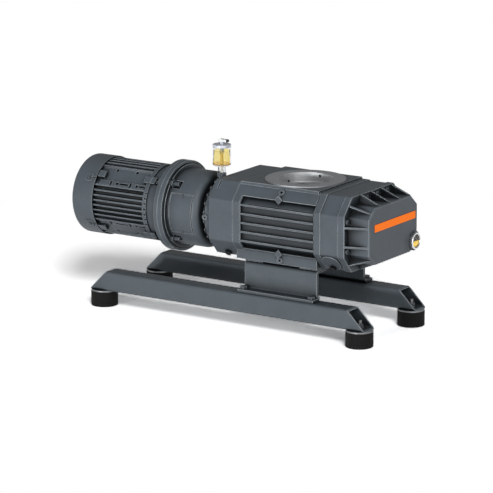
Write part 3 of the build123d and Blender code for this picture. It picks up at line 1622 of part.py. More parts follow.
with BuildPart() as stator_core:
    ring(across(core_start, drive_y), core_outer, core_bore + air_gap, core_length)
stator_core.part.label = "stator_core"
export_step(stator_core.part, "parts/stator_core.step")

with BuildPart() as stator_windings:
    ring(across(core_start - winding_length, drive_y), winding_outer, winding_inner, winding_length)
    ring(across(core_start + core_length, drive_y), winding_outer, winding_inner, winding_length)
    chamfer(stator_windings.edges().group_by(Axis.X)[0], length=case_corner)
    chamfer(stator_windings.edges().group_by(Axis.X)[-1], length=case_corner)
stator_windings.part.label = "stator_windings"
export_step(stator_windings.part, "parts/stator_windings.step")

with BuildPart() as motor_shaft:
    tail_end = cowl_rear + fan_inset
    rear_seat = rear_bearing + running_gap
    front_seat = front_bearing + running_gap
    seat = motor_bearing_width - 2 * running_gap
    shaft_steps(
        drive_y,
        tail_end,
        [
            (rear_seat - tail_end, motor_tail),
            (seat, motor_shaft_seat),
            (front_seat - rear_seat - seat, motor_shaft_core),
            (seat, motor_shaft_seat),
            (motor_shaft_end - front_seat - seat, motor_nose),
        ],
    )
motor_shaft.part.label = "motor_shaft"
export_step(motor_shaft.part, "parts/motor_shaft.step")

with BuildPart() as motor_rotor:
    ring(across(core_start, drive_y), core_bore, motor_shaft_core, core_length)
    ring(across(core_start, drive_y), cage_outer, cage_inner, -cage_length)
    ring(across(core_start + core_length, drive_y), cage_outer, cage_inner, cage_length)
motor_rotor.part.label = "motor_rotor"
export_step(motor_rotor.part, "parts/motor_rotor.step")

with BuildPart() as fan:
    fan_start = cowl_rear + fan_inset
    ring(across(fan_start, drive_y), fan_hub, motor_tail, fan_hub_length)
    ring(across(fan_start + fan_hub_length, drive_y), fan_disc, motor_tail, -fan_disc_thick)
    with BuildSketch(across(fan_start + fan_hub_length, drive_y)):
        with PolarLocations((fan_radius + fan_hub - 1) / 2, fan_blades):
            Rectangle(fan_radius - fan_hub + 1, fan_blade_thick)
    extrude(amount=-fan_hub_length)
fan.part.label = "fan"
export_step(fan.part, "parts/fan.step")

with BuildPart() as fan_cowl:
    with BuildSketch(across(cowl_rear, drive_y)):
        Circle(cowl_radius)
    extrude(amount=cowl_length)
    fillet(fan_cowl.edges().group_by(Axis.X)[0], radius=cowl_round)
    # embossed pads for the fixing screws
    for angle in cowl_pad_angles:
        with BuildSketch(radial_plane(cowl_pad_x, angle, cowl_radius + cowl_pad_rise)):
            RectangleRounded(cowl_pad_length, cowl_pad_width, small_screw)
        extrude(amount=-2 * small_screw)
    with BuildSketch(lengthwise(drive_y)):
        with BuildLine():
            Polyline(
                (cowl_front, 0),
                (cowl_front, cowl_radius - cowl_wall),
                (cowl_rear + cowl_round, cowl_radius - cowl_wall),
            )
            RadiusArc(
                (cowl_rear + cowl_round, cowl_radius - cowl_wall),
                (cowl_rear + cowl_wall, cowl_radius - cowl_round),
                cowl_wall - cowl_round,
            )
            Polyline(
                (cowl_rear + cowl_wall, cowl_radius - cowl_round),
                (cowl_rear + cowl_wall, 0),
                (cowl_front, 0),
            )
        make_face()
    revolve(axis=shaft_axis(drive_y), mode=Mode.SUBTRACT)
    # opening for the grille in the rear wall
    with BuildSketch(across(cowl_rear, drive_y)):
        Circle(grille_radius - grille_wall)
    extrude(amount=cowl_wall, mode=Mode.SUBTRACT)
    # slits from the front edge, so that the cowl can be slid off its screws
    for angle in cowl_pad_angles:
        with BuildSketch(radial_plane(cowl_pad_x, angle, cowl_radius + cowl_pad_rise)):
            Rectangle(cowl_front - cowl_pad_x, cowl_slit, align=(Align.MIN, Align.CENTER))
        extrude(amount=-2 * small_screw, mode=Mode.SUBTRACT)
    for head_plane in cowl_screws:
        drill(head_plane, small_screw, 2 * small_screw)
fan_cowl.part.label = "fan_cowl"
export_step(fan_cowl.part, "parts/fan_cowl.step")

with BuildPart() as cowl_grille:
    with BuildSketch(across(cowl_rear, drive_y)):
        Circle(grille_radius)
    extrude(amount=-grille_rise)
    fillet(cowl_grille.edges().group_by(Axis.X)[0], radius=grille_round)
    with BuildSketch(across(cowl_rear, drive_y)):
        Circle(grille_radius - grille_wall)
    extrude(amount=grille_round - grille_rise, mode=Mode.SUBTRACT)
    with BuildSketch(across(cowl_rear + grille_round - grille_rise, drive_y)):
        Circle(grille_radius - grille_round)
    extrude(amount=grille_wall - grille_round, mode=Mode.SUBTRACT)
    # three rings of air slots between the bars
    with BuildSketch(across(cowl_rear, drive_y)):
        for radius in grille_radii:
            Circle(radius + grille_slot / 2)
            Circle(radius - grille_slot / 2, mode=Mode.SUBTRACT)
        with PolarLocations(0, 3):
            Rectangle(2 * cowl_radius, grille_bar, mode=Mode.SUBTRACT)
    extrude(amount=-grille_rise, mode=Mode.SUBTRACT)
cowl_grille.part.label = "cowl_grille"
export_step(cowl_grille.part, "parts/cowl_grille.step")

# ---------------------------------------------------------------- terminal box
with BuildPart() as terminal_box:
    with BuildSketch(Plane((box_mid, box_start, axis_height), x_dir=(1, 0, 0), z_dir=(0, 1, 0))):
        RectangleRounded(box_length, box_height, case_corner)
    extrude(amount=box_depth)
    with BuildSketch(Plane((box_mid, box_start + box_wall, axis_height), x_dir=(1, 0, 0), z_dir=(0, 1, 0))):
        RectangleRounded(box_length - 2 * box_wall, box_height - 2 * box_wall, box_wall)
    extrude(amount=box_depth, mode=Mode.SUBTRACT)
    with BuildSketch(Plane((box_mid, box_start + box_depth / 2, axis_height - box_height / 2))):
        Circle(gland_bore)
    extrude(amount=box_wall, mode=Mode.SUBTRACT)
terminal_box.part.label = "terminal_box"
export_step(terminal_box.part, "parts/terminal_box.step")

with BuildPart() as terminal_lid:
    with BuildSketch(Plane((box_mid, box_back, axis_height), x_dir=(1, 0, 0), z_dir=(0, 1, 0))):
        RectangleRounded(box_length + box_wall, box_height + box_wall, case_corner)
    extrude(amount=box_lid)
    fillet(terminal_lid.edges().group_by(Axis.Y)[-1], radius=edge_break)
    for head_plane in lid_screws:
        drill(head_plane, small_screw, 2 * small_screw)
terminal_lid.part.label = "terminal_lid"
export_step(terminal_lid.part, "parts/terminal_lid.step")

with BuildPart() as cable_gland:
    gland_top = axis_height - box_height / 2
    with BuildSketch(Plane((box_mid, box_start + box_depth / 2, gland_top))):
        RegularPolygon(gland_radius, 6, major_radius=False)
    extrude(amount=-box_lid)
    with BuildSketch(Plane((box_mid, box_start + box_depth / 2, gland_top - box_lid))):
        Circle(gland_radius - 1)
    extrude(amount=-2 * box_lid)
    fillet(cable_gland.edges().group_by(Axis.Z)[0], radius=edge_break)
    # the bore is blind: no cable is fitted
    with BuildSketch(Plane((box_mid, box_start + box_depth / 2, gland_top - 3 * box_lid))):
        Circle(gland_bore)
    extrude(amount=2 * box_lid, mode=Mode.SUBTRACT)
cable_gland.part.label = "cable_gland"
export_step(cable_gland.part, "parts/cable_gland.step")

# ---------------------------------------------------------------- small screws
with BuildPart() as small_screws:
    for head_plane in (*bell_cover_screws, *cowl_screws, *lid_screws):
        with BuildSketch(head_plane):
            Circle(small_screw)
        extrude(amount=small_screw / 2)
        with BuildSketch(head_plane):
            Circle(small_screw / 2)
        extrude(amount=-2 * small_screw)
small_screws.part.label = "small_screws"
export_step(small_screws.part, "parts/small_screws.step")

# ---------------------------------------------------------------- drip-feed oiler
oiler_seat = axis_height + oil_boss_reach
feed_bottom = oiler_seat + fitting_height
cup_bottom = feed_bottom + feed_height
cup_top = cup_bottom + oiler_cup_height
lid_top = cup_top + oiler_lid
lever_level = lid_top + lever_raise

with BuildPart() as oiler_stem:
    with BuildSketch(Plane((oiler_x, drive_y, oiler_seat))):
        RegularPolygon(fitting_radius, 6, major_radius=False)
    extrude(amount=fitting_height)
    with BuildSketch(Plane((oiler_x, drive_y, oiler_seat - 2 * fitting_radius))):
        Circle(fitting_radius / 2)
    extrude(amount=2 * fitting_radius)
    with BuildSketch(Plane((oiler_x, drive_y, feed_bottom))):
        Circle(oil_tube)
    extrude(amount=cup_top - feed_bottom)
oiler_stem.part.label = "oiler_stem"
export_step(oiler_stem.part, "parts/oiler_stem.step")

with BuildPart() as oiler_glasses:
    with BuildSketch(Plane((oiler_x, drive_y, feed_bottom))):
        Circle(feed_radius)
        Circle(feed_radius - feed_wall, mode=Mode.SUBTRACT)
    extrude(amount=feed_height)
    with BuildSketch(Plane((oiler_x, drive_y, cup_bottom))):
        Circle(oiler_radius)
    extrude(amount=oiler_cup_height)
    cup_rims = oiler_glasses.edges().filter_by(GeomType.CIRCLE).group_by(SortBy.RADIUS)[-1]
    fillet(cup_rims.sort_by(Axis.Z)[0], radius=oiler_round)
    with BuildSketch(Plane((oiler_x, drive_y, cup_bottom + 2 * oiler_wall))):
        Circle(oiler_radius - oiler_wall)
    extrude(amount=oiler_cup_height, mode=Mode.SUBTRACT)
    with BuildSketch(Plane((oiler_x, drive_y, cup_bottom))):
        Circle(oil_tube)
    extrude(amount=2 * oiler_wall, mode=Mode.SUBTRACT)
oiler_glasses.part.label = "oiler_glasses"
export_step(oiler_glasses.part, "parts/oiler_glasses.step")

with BuildPart() as oiler_lid_cap:
    with BuildSketch(Plane((oiler_x, drive_y, cup_top))):
        Circle(oiler_radius)
    extrude(amount=oiler_lid)
    fillet(oiler_lid_cap.edges().group_by(Axis.Z)[-1], radius=edge_break)
    # upright tongue that carries the lever
    with BuildSketch(Plane.XZ.offset(-drive_y)):
        with Locations((oiler_x, lid_top)):
            Rectangle(oiler_neck, lever_raise, align=(Align.CENTER, Align.MIN))
        with Locations((oiler_x, lever_level)):
            Circle(oiler_neck / 2)
            Circle(lever_pin / 2 + pin_gap, mode=Mode.SUBTRACT)
    extrude(amount=oiler_neck_width / 2, both=True)
oiler_lid_cap.part.label = "oiler_lid"
export_step(oiler_lid_cap.part, "parts/oiler_lid.step")

with BuildPart() as oiler_lever:
    lever_middle = oiler_x - lever_tail + lever_length / 2
    with BuildSketch(Plane.XZ.offset(-drive_y)):
        with Locations((lever_middle, lever_level)):
            RectangleRounded(lever_length, lever_height, lever_height / 2 - running_gap)
    extrude(amount=lever_width / 2, both=True)
    # fork over the tongue, with a pin across it
    with BuildSketch(Plane.XY.offset(lever_level - lever_height)):
        with Locations((oiler_x - lever_tail, drive_y)):
            Rectangle(lever_fork, oiler_neck_width + 2 * running_gap, align=(Align.MIN, Align.CENTER))
    extrude(amount=2 * lever_height, mode=Mode.SUBTRACT)
    with BuildSketch(Plane.XZ.offset(-drive_y)):
        with Locations((oiler_x, lever_level)):
            Circle(lever_pin / 2)
    extrude(amount=lever_width / 2, both=True)
oiler_lever.part.label = "oiler_lever"
export_step(oiler_lever.part, "parts/oiler_lever.step")
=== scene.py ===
"""Roots vacuum pump on a rail stand: finishes, small pieces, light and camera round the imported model."""

import json
import math

import bpy
import numpy as np
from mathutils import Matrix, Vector


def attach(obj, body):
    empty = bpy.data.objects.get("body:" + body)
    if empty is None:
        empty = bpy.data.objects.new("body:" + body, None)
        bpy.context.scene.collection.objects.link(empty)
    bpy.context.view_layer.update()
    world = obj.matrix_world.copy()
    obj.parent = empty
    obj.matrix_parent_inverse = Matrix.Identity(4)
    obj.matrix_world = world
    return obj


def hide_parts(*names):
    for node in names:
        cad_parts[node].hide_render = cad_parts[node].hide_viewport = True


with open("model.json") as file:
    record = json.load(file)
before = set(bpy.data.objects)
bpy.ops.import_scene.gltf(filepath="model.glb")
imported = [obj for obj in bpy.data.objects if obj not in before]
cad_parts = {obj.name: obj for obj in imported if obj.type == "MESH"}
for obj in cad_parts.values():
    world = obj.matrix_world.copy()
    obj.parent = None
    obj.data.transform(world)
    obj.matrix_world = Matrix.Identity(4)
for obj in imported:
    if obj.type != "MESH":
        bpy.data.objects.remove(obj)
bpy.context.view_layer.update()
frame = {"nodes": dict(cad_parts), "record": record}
nodes = frame["nodes"]

MM = 0.001
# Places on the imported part, in millimetres
PORT_X = 159.0
PAD_TOP = 398.0
RING_RADIUS = 109.5
BORE_RADIUS = 76.5
CHAMBER_TOP = 368.0
DECK_TOP = 184.0
SHAFT_Y = -50.0
SHAFT_Z = 292.0
OILER_X = -78.0
OILER_Y = -50.0
STEM_TOP = 398.0
LEVER_TIP_X = -61.0
CUP_FLOOR = 422.0
CUP_INNER_RADIUS = 23.0
CUP_TOP = 469.0
OIL_LEVEL = 458.5
OIL_TUBE_RADIUS = 4.0
SIGHT_Y = 110.0
SIGHT_Z = 242.0
SIGHT_PANE_X = 438.0
SIGHT_RADIUS = 18.0
RUNNING_GAP = 0.2
# How far past a machined face its bare metal reaches, so that none of its own height is missed
FACE_MARGIN = 0.1

# Cosine of the turn at which a rounded edge starts to show, and at which it shows in full
EDGE_STARTS = 0.99
EDGE_FULL = 0.92
# Share of open sky at which the painted shade is at its deepest and at which there is none
HOLLOW_SKY = (0.50, 1.0)
CREASE_SKY = (0.55, 0.85)
# Radius in millimetres that the shading rounds the edges of bare metal, mouldings and plating to
METAL_EDGE = 0.6
MOULDED_EDGE = 0.8
PLATED_EDGE = 1.4


# ---------------------------------------------------------------- colours and nodes
def linear(code, alpha=1.0):
    """sRGB hex colour as linear red, green, blue and alpha."""
    channels = np.array([int(code[k : k + 2], 16) for k in (1, 3, 5)]) / 255
    low = channels / 12.92
    high = ((channels + 0.055) / 1.055) ** 2.4
    return (*np.where(channels <= 0.04045, low, high), alpha)


def add(tree, kind, values=None, links=None, **settings):
    """One node with its settings, its unlinked values and its links."""
    node = tree.nodes.new(kind)
    for name, value in settings.items():
        setattr(node, name, value)
    for socket, value in (values or {}).items():
        node.inputs[socket].default_value = value
    for socket, source in (links or {}).items():
        tree.links.new(source, node.inputs[socket])
    return node


def new_material(name):
    """Empty node material; returns the material, its tree and its output."""
    material = bpy.data.materials.new(name)
    material.use_nodes = True
    tree = material.node_tree
    tree.nodes.clear()
    return material, tree, add(tree, "ShaderNodeOutputMaterial")


def object_place(tree):
    """Place on the piece in its own coordinates, in metres."""
    return add(tree, "ShaderNodeTexCoord").outputs["Object"]


def noise(tree, place, grain_mm, detail=2.0, roughness=0.6):
    """Cloudy pattern with patches about grain_mm wide."""
    values = {"Scale": 1 / (grain_mm * MM), "Detail": detail, "Roughness": roughness}
    return add(tree, "ShaderNodeTexNoise", values, {"Vector": place}).outputs["Fac"]


def spread(tree, source, low, high, start=0.3, end=0.7):
    """Carries source from start..end to low..high and holds it there."""
    values = {"From Min": start, "From Max": end, "To Min": low, "To Max": high}
    return add(tree, "ShaderNodeMapRange", values, {"Value": source}).outputs["Result"]


def blend(tree, factor, first, second):
    """Colour between first and second; each is a hex colour or an output."""
    values, links = {}, {"Factor": factor}
    for socket, colour in (("A", first), ("B", second)):
        if isinstance(colour, str):
            values[socket] = linear(colour)
        else:
            links[socket] = colour
    return add(tree, "ShaderNodeMix", values, links, data_type="RGBA").outputs["Result"]


def toned(tree, base, tone):
    """Base colour, a hex colour or an output, made lighter or darker by the number tone."""
    values, links = {}, {"Scale": tone}
    if isinstance(base, str):
        values[0] = linear(base)[:3]
    else:
        links[0] = base
    return add(tree, "ShaderNodeVectorMath", values, links, operation="SCALE").outputs["Vector"]


def combine(tree, operation, first, second):
    """Two numbers put together by a Math operation; second may be a plain number."""
    values, links = {}, {0: first}
    (values if isinstance(second, (int, float)) else links)[1] = second
    return add(tree, "ShaderNodeMath", values, links, operation=operation).outputs[0]


def distance(tree, place, centre_mm):
    """Distance in metres from place to a centre given in millimetres."""
    centre = {1: tuple(value * MM for value in centre_mm)}
    return add(tree, "ShaderNodeVectorMath", centre, {0: place}, operation="DISTANCE").outputs["Value"]


def surface_normal(tree, height, depth_mm, edge_mm):
    """Normal with the grain's bump on it, rounded over every edge by edge_mm."""
    bump = add(tree, "ShaderNodeBump", {"Strength": 1.0, "Distance": depth_mm * MM}, {"Height": height})
    radius, links = {"Radius": edge_mm * MM}, {"Normal": bump.outputs["Normal"]}
    return add(tree, "ShaderNodeBevel", radius, links, samples=6).outputs["Normal"]


def edges_of(tree, rounded):
    """1 on the outer and inner edges that the rounded normal turns over, 0 on open faces."""
    flat = add(tree, "ShaderNodeNewGeometry").outputs["Normal"]
    turned = add(tree, "ShaderNodeVectorMath", None, {0: rounded, 1: flat}, operation="DOT_PRODUCT")
    return spread(tree, turned.outputs["Value"], 0.0, 1.0, start=EDGE_STARTS, end=EDGE_FULL)


def sheltered(tree, reach_mm, deep, open_sky):
    """1 where faces within reach_mm leave less than the share deep of the sky open, 0 from
    open_sky on. A long reach finds hollows and a short one narrow seams and sharp inner corners."""
    shelter = add(tree, "ShaderNodeAmbientOcclusion", {"Distance": reach_mm * MM}, None, samples=8)
    return spread(tree, shelter.outputs["AO"], 1.0, 0.0, start=deep, end=open_sky)


def enamel_coat(tree, paint, highlight_colour, shade_colour, roughness, grain_mm, grain_depth_mm, edge_mm, hollow_mm):
    """Shader of a two-pack enamel. The film is a little uneven in tone and shows the metal's grain
    through it. Its edges carry a painted highlight, and its hollows and creases painted shade."""
    place = object_place(tree)
    cloud = noise(tree, place, 60, detail=3.0)
    grain = noise(tree, place, grain_mm)
    rounded = surface_normal(tree, grain, grain_depth_mm, edge_mm)
    edge = combine(tree, "MULTIPLY", edges_of(tree, rounded), spread(tree, cloud, 0.6, 1.0))
    hollow = sheltered(tree, hollow_mm, *HOLLOW_SKY)
    mottle = combine(tree, "MULTIPLY", spread(tree, cloud, 0.93, 1.07), spread(tree, grain, 0.93, 1.07))
    film = toned(tree, paint, mottle)
    crease = sheltered(tree, edge_mm * 2, *CREASE_SKY)
    # Painted shade: hollows and creases darken towards the near-black shade colour, as shade would fall
    # there.
    shade_mask = combine(tree, "MAXIMUM", combine(tree, "MULTIPLY", hollow, 0.96), crease)
    shaded_film = blend(tree, shade_mask, film, shade_colour)
    # Painted highlight: edges outside the creases turn to the pale highlight colour.
    highlight_mask = combine(tree, "MULTIPLY", edge, spread(tree, crease, 1.0, 0.0, start=0.0, end=0.4))
    return add(
        tree,
        "ShaderNodeBsdfPrincipled",
        {"IOR": 1.4},
        {
            "Base Color": blend(tree, highlight_mask, shaded_film, highlight_colour),
            "Roughness": spread(tree, grain, roughness - 0.04, roughness + 0.08),
            "Normal": rounded,
        },
    ).outputs["BSDF"]


def bare_metal(tree, base, roughness, grain_mm, stretch, depth_mm, tint):
    """Shader of bare or plated metal with a fine grain. Turning or brushing packs the grain closer
    along an axis, as many times as stretch says."""
    place = object_place(tree)
    drawn = add(tree, "ShaderNodeMapping", {"Scale": stretch}, {"Vector": place}).outputs["Vector"]
    grain = noise(tree, drawn, grain_mm, detail=3.0)
    return add(
        tree,
        "ShaderNodeBsdfPrincipled",
        {"Metallic": 1.0},
        {
            "Base Color": toned(tree, base, spread(tree, grain, 1 - tint, 1 + tint)),
            "Roughness": spread(tree, grain, roughness - 0.06, roughness + 0.08),
            "Normal": surface_normal(tree, grain, depth_mm, METAL_EDGE),
        },
    ).outputs["BSDF"]


def enamel(name, **coat):
    """Material of an enamelled part."""
    material, tree, output = new_material(name)
    tree.links.new(enamel_coat(tree, **coat), output.inputs["Surface"])
    return material


def metal(name, base, roughness, grain_mm, stretch=(1.0, 1.0, 1.0), depth_mm=0.02, tint=0.12):
    """Material of a bare metal part."""
    material, tree, output = new_material(name)
    shader = bare_metal(tree, base, roughness, grain_mm, stretch, depth_mm, tint)
    tree.links.new(shader, output.inputs["Surface"])
    return material


def moulded(name, base, roughness, grain_mm, depth_mm, tint=0.15, ior=1.5, glow=0.0):
    """Rubber, plastic, film or oil skin: faintly uneven, with the fine grain of its mould or roll.
    With glow it also has a painted glow in its own colour, though it is no lamp."""
    material, tree, output = new_material(name)
    place = object_place(tree)
    grain = noise(tree, place, grain_mm, detail=3.0)
    links = {
        "Base Color": toned(tree, base, spread(tree, grain, 1 - tint, 1 + tint)),
        "Roughness": spread(tree, grain, roughness - 0.05, roughness + 0.05),
        "Normal": surface_normal(tree, grain, depth_mm, MOULDED_EDGE),
    }
    # Painted glow: emission in the part's own colour.
    values = {"IOR": ior, "Emission Color": linear(base), "Emission Strength": glow}
    shader = add(tree, "ShaderNodeBsdfPrincipled", values, links)
    tree.links.new(shader.outputs["BSDF"], output.inputs["Surface"])
    return material


def clear(name, tint, roughness, ior, painted_depth_tint=None):
    """Clear glass or oil, with a faint waviness from the melt. For oil a stronger colour is painted
    low down and far from the cup's axis, where it is seen through more of the glass."""
    material, tree, output = new_material(name)
    place = object_place(tree)
    wave = noise(tree, place, 30, detail=0.0)
    bump = add(tree, "ShaderNodeBump", {"Strength": 0.2, "Distance": 0.05 * MM}, {"Height": wave})
    values = {"Base Color": linear(tint), "Roughness": roughness, "IOR": ior, "Transmission Weight": 1.0}
    links = {"Normal": bump.outputs["Normal"]}
    # Painted depth of colour: the deeper tint stands in for light passing through more oil and glass.
    if painted_depth_tint:
        away = distance(tree, place, (OILER_X, OILER_Y, CUP_FLOOR + 30))
        corner = spread(tree, away, 0.0, 1.0, start=33.5 * MM, end=38.0 * MM)
        links["Base Color"] = blend(tree, corner, tint, painted_depth_tint)
    shader = add(tree, "ShaderNodeBsdfPrincipled", values, links)
    tree.links.new(shader.outputs["BSDF"], output.inputs["Surface"])
    return material


def housing_finish(name, coat, ring_iron, bore_iron, turning):
    """Enamelled casting whose inlet ring, inlet bore and mounting faces are machined bare. The bare
    places are worked out from the height and from the distance to the inlet's axis."""
    material, tree, output = new_material(name)
    place = object_place(tree)
    parts = add(tree, "ShaderNodeSeparateXYZ", None, {"Vector": place})
    height = parts.outputs["Z"]
    flat = add(tree, "ShaderNodeCombineXYZ", None, {"X": parts.outputs["X"], "Y": parts.outputs["Y"]})
    away = distance(tree, flat.outputs["Vector"], (PORT_X, 0.0, 0.0))
    on_ring = combine(tree, "GREATER_THAN", height, (PAD_TOP + FACE_MARGIN) * MM)
    near_ring = combine(tree, "LESS_THAN", away, (RING_RADIUS + FACE_MARGIN) * MM)
    in_bore = combine(tree, "LESS_THAN", away, (BORE_RADIUS + FACE_MARGIN) * MM)
    above_chamber = combine(tree, "GREATER_THAN", height, CHAMBER_TOP * MM)
    underneath = combine(tree, "LESS_THAN", height, (DECK_TOP + FACE_MARGIN) * MM)
    ring = combine(tree, "MULTIPLY", on_ring, near_ring)
    bore = combine(tree, "MULTIPLY", in_bore, above_chamber)
    bare = combine(tree, "MAXIMUM", combine(tree, "MAXIMUM", ring, bore), underneath)
    painted = enamel_coat(tree, **coat)
    cut = bare_metal(tree, blend(tree, bore, ring_iron, bore_iron), **turning)
    chosen = add(tree, "ShaderNodeMixShader", None, {0: bare, 1: painted, 2: cut})
    tree.links.new(chosen.outputs[0], output.inputs["Surface"])
    return material


def stem_finish(name, coat, tube):
    """Oiler stem: enamelled hexagon fitting below the feed glass, and a pale satin tube above it."""
    material, tree, output = new_material(name)
    place = object_place(tree)
    height = add(tree, "ShaderNodeSeparateXYZ", None, {"Vector": place}).outputs["Z"]
    above = combine(tree, "GREATER_THAN", height, STEM_TOP * MM)
    pale = toned(tree, tube, spread(tree, noise(tree, place, 3), 0.94, 1.06))
    satin = add(tree, "ShaderNodeBsdfPrincipled", {"Roughness": 0.45}, {"Base Color": pale})
    links = {0: above, 1: enamel_coat(tree, **coat), 2: satin.outputs["BSDF"]}
    tree.links.new(add(tree, "ShaderNodeMixShader", None, links).outputs[0], output.inputs["Surface"])
    return material


def plated_finish(name, face, edge, tip=None):
    """Oiler fitting: bright plating on its faces and painted shade on its edges. A lever also has a dark
    dipped tip, worked out from its place along the lever."""
    material, tree, output = new_material(name)
    place = object_place(tree)
    grain = noise(tree, place, 2)
    rounded = surface_normal(tree, grain, 0.01, PLATED_EDGE)
    # Painted shade: the edges take the darker edge colour.
    plated = blend(tree, edges_of(tree, rounded), toned(tree, face, spread(tree, grain, 0.95, 1.05)), edge)
    if tip:
        along = add(tree, "ShaderNodeSeparateXYZ", None, {"Vector": place}).outputs["X"]
        dipped = spread(tree, along, 0.0, 1.0, start=(LEVER_TIP_X - 1.0) * MM, end=LEVER_TIP_X * MM)
        plated = blend(tree, dipped, plated, tip)
    values = {"Metallic": 0.25, "Roughness": 0.35}
    links = {"Base Color": plated, "Normal": rounded}
    shader = add(tree, "ShaderNodeBsdfPrincipled", values, links)
    tree.links.new(shader.outputs["BSDF"], output.inputs["Surface"])
    return material


# ---------------------------------------------------------------- materials
# Grains of 1.2 to 4 mm are drawn coarser than the real ones of 0.1 to 1 mm, so that they still show
# from the camera.

# Cast iron under slate grey two-pack enamel: a satin blue-grey, a little uneven, with the casting's
# grain in its shine, a painted highlight line on every edge and painted shade in hollows. The
# highlight line is drawn about 3 mm wide. The edge line is drawn about 3 mm wide, coarser than the
# real film's.
CASTING = dict(
    paint="#545C63",
    # The pale colour is a painted highlight for the edges.
    highlight_colour="#C0C8CD",
    # The near-black colour is painted shade for hollows and creases.
    shade_colour="#0E1113",
    roughness=0.43,
    grain_mm=3.0,
    grain_depth_mm=0.10,
    edge_mm=2.6,
    hollow_mm=42,
)
cast_enamel = enamel("cast_iron_slate_enamel", **CASTING)
# The same enamel on an aluminium motor: smoother metal under it, and duller, wider painted edge
# highlights that turn the rows of fins into soft stripes with painted shade between them.
# The paler colour given here is the motor's painted edge highlight.
FINNED = {**CASTING, "paint": "#525A61", "grain_depth_mm": 0.05, "highlight_colour": "#959DA3", "edge_mm": 3.2}
motor_enamel = enamel("aluminium_slate_enamel", **FINNED)
# Rolled steel tube and plate: long flat sides that look smooth under the film, with crisp painted edge
# highlights.
rail_enamel = enamel("rolled_steel_slate_enamel", **{**CASTING, "paint": "#545C62", "grain_depth_mm": 0.04})
# Screws painted over with the castings: the same film, a shade darker, outlined round the head by painted
# shade.
SCREW = {**CASTING, "paint": "#4A5157", "edge_mm": 1.2, "hollow_mm": 8}
screw_enamel = enamel("overpainted_steel", **SCREW)
# The oiler's stem: the same film on its hexagon, and a pale nylon tube that reads as a light line in
# the glass.
oiler_stem_finish = stem_finish("enamelled_fitting_nylon_tube", SCREW, "#DAD7CC")
# Turned grey iron, left bare where other parts seat: dull and pale against the enamel, with fine tool
# marks.
TURNING = dict(roughness=0.55, grain_mm=2.5, stretch=(1.0, 1.0, 4.0), depth_mm=0.02, tint=0.10)
housing_enamel = housing_finish("cast_iron_enamel_machined_faces", CASTING, "#A6A8AB", "#D6D8DA", TURNING)
# Milled ductile iron of the rotors and hubs: warm dark grey with soft shine and marks across the axis.
rotor_iron = metal("machined_ductile_iron", "#8C8B88", 0.34, 2.5, stretch=(8.0, 1.0, 1.0))
# Natural rubber with carbon black: matt and nearly black, so that the feet read as plain dark drums.
foot_rubber = moulded("carbon_black_rubber", "#0D0D0C", 0.80, 3.0, 0.08, ior=1.3)
# Zinc plating: a grey, slightly cloudy shine on nuts and plates.
zinc = metal("zinc_plated_steel", "#77797B", 0.42, 3.0)
# Black oxide on steel screws: almost black, with a soft metal glint on the head's edge.
black_oxide = metal("black_oxide_steel", "#2E3033", 0.42, 3.0)
# Ground bearing steel: the brightest and smoothest metal inside, pale and clean.
ground_steel = metal("ground_bearing_steel", "#C3C4C4", 0.22, 2.0)
# Turned aluminium: near white and shiny, with close tool lines across its shine.
turned_aluminium = metal("turned_aluminium", "#DADCDE", 0.26, 2.0, stretch=(1.0, 1.0, 6.0))
# Pressed nickel-plated steel of the lever: bright faces held by painted dark shade on the edges, and a
# black dipped tip.
lever_steel = plated_finish("pressed_nickel_steel", "#EEF0F2", "#4A4D52", tip="#26282B")
# Nickel plating of the lid: a soft bluish white with painted grey shade on its rims.
lid_nickel = plated_finish("nickel_plated_lid", "#D4D8E2", "#7D8494")
# Lacquered copper wire: the only warm red-brown metal, glossy.
lacquered_copper = metal("lacquered_copper_wire", "#B06A3C", 0.35, 1.5)
# Stacked core sheets: dull mid grey, ruled with fine lines across the axis.
lamination = metal("laminated_core_steel", "#5A5B5E", 0.5, 1.2, stretch=(6.0, 1.0, 1.0))
# Fluorescent orange film: even and satin, with a little painted glow of its own, so that it stays the one
# strong colour even in shade.
orange_film = moulded("fluorescent_orange_film", "#FF7A1E", 0.5, 4.0, 0.01, tint=0.03, ior=1.3, glow=0.38)
# Nitrile rubber of the shaft seals: dark brown and dull.
seal_rubber = moulded("nitrile_seal_rubber", "#3A2018", 0.5, 1.5, 0.03)
# Polyurethane of the coupling's spider: a dull brick red between two grey hubs.
spider_rubber = moulded("polyurethane_spider", "#A8321E", 0.42, 2.0, 0.03)
# Glass-filled nylon of the fan and the gland: charcoal with a slight sheen.
fan_plastic = moulded("glass_filled_nylon", "#1B1C1E", 0.48, 1.5, 0.04)
# Natural nylon of the needle guide: off-white and smooth, seen through the cup.
pale_nylon = moulded("natural_nylon", "#DEDDD6", 0.4, 2.0, 0.02, tint=0.05)
# Sight glass: clear, with a weak glint, so that the oil behind it shows.
pane_glass = clear("sight_glass", "#F4F6F3", 0.02, 1.2)
# Drawn glass of the oiler's cup and feed glass: clear, with faint lines down its sides.
cup_glass = clear("drawn_glass_cup", "#F8FAFC", 0.03, 1.32)
# Painted shade inside the sight glass well: a dark disc, so that the empty upper half looks deep.
well_shade = moulded("painted_shade_well", "#1A1A12", 0.5, 4.0, 0.02, ior=1.3)
# Oil that stands behind the sight glass: bright yellow, with a little painted glow as if lit from within
# the glass.
oil_window = moulded("yellow_oil_behind_glass", "#F2C22E", 0.25, 9.0, 0.02, tint=0.25, ior=1.45, glow=0.25)
# Mineral oil in the cup: pale amber against the light, with a deeper amber painted into its lower corners,
# where more of it is seen through.
amber_oil = clear("mineral_oil", "#F9E391", 0.02, 1.03, painted_depth_tint="#D58F3C")

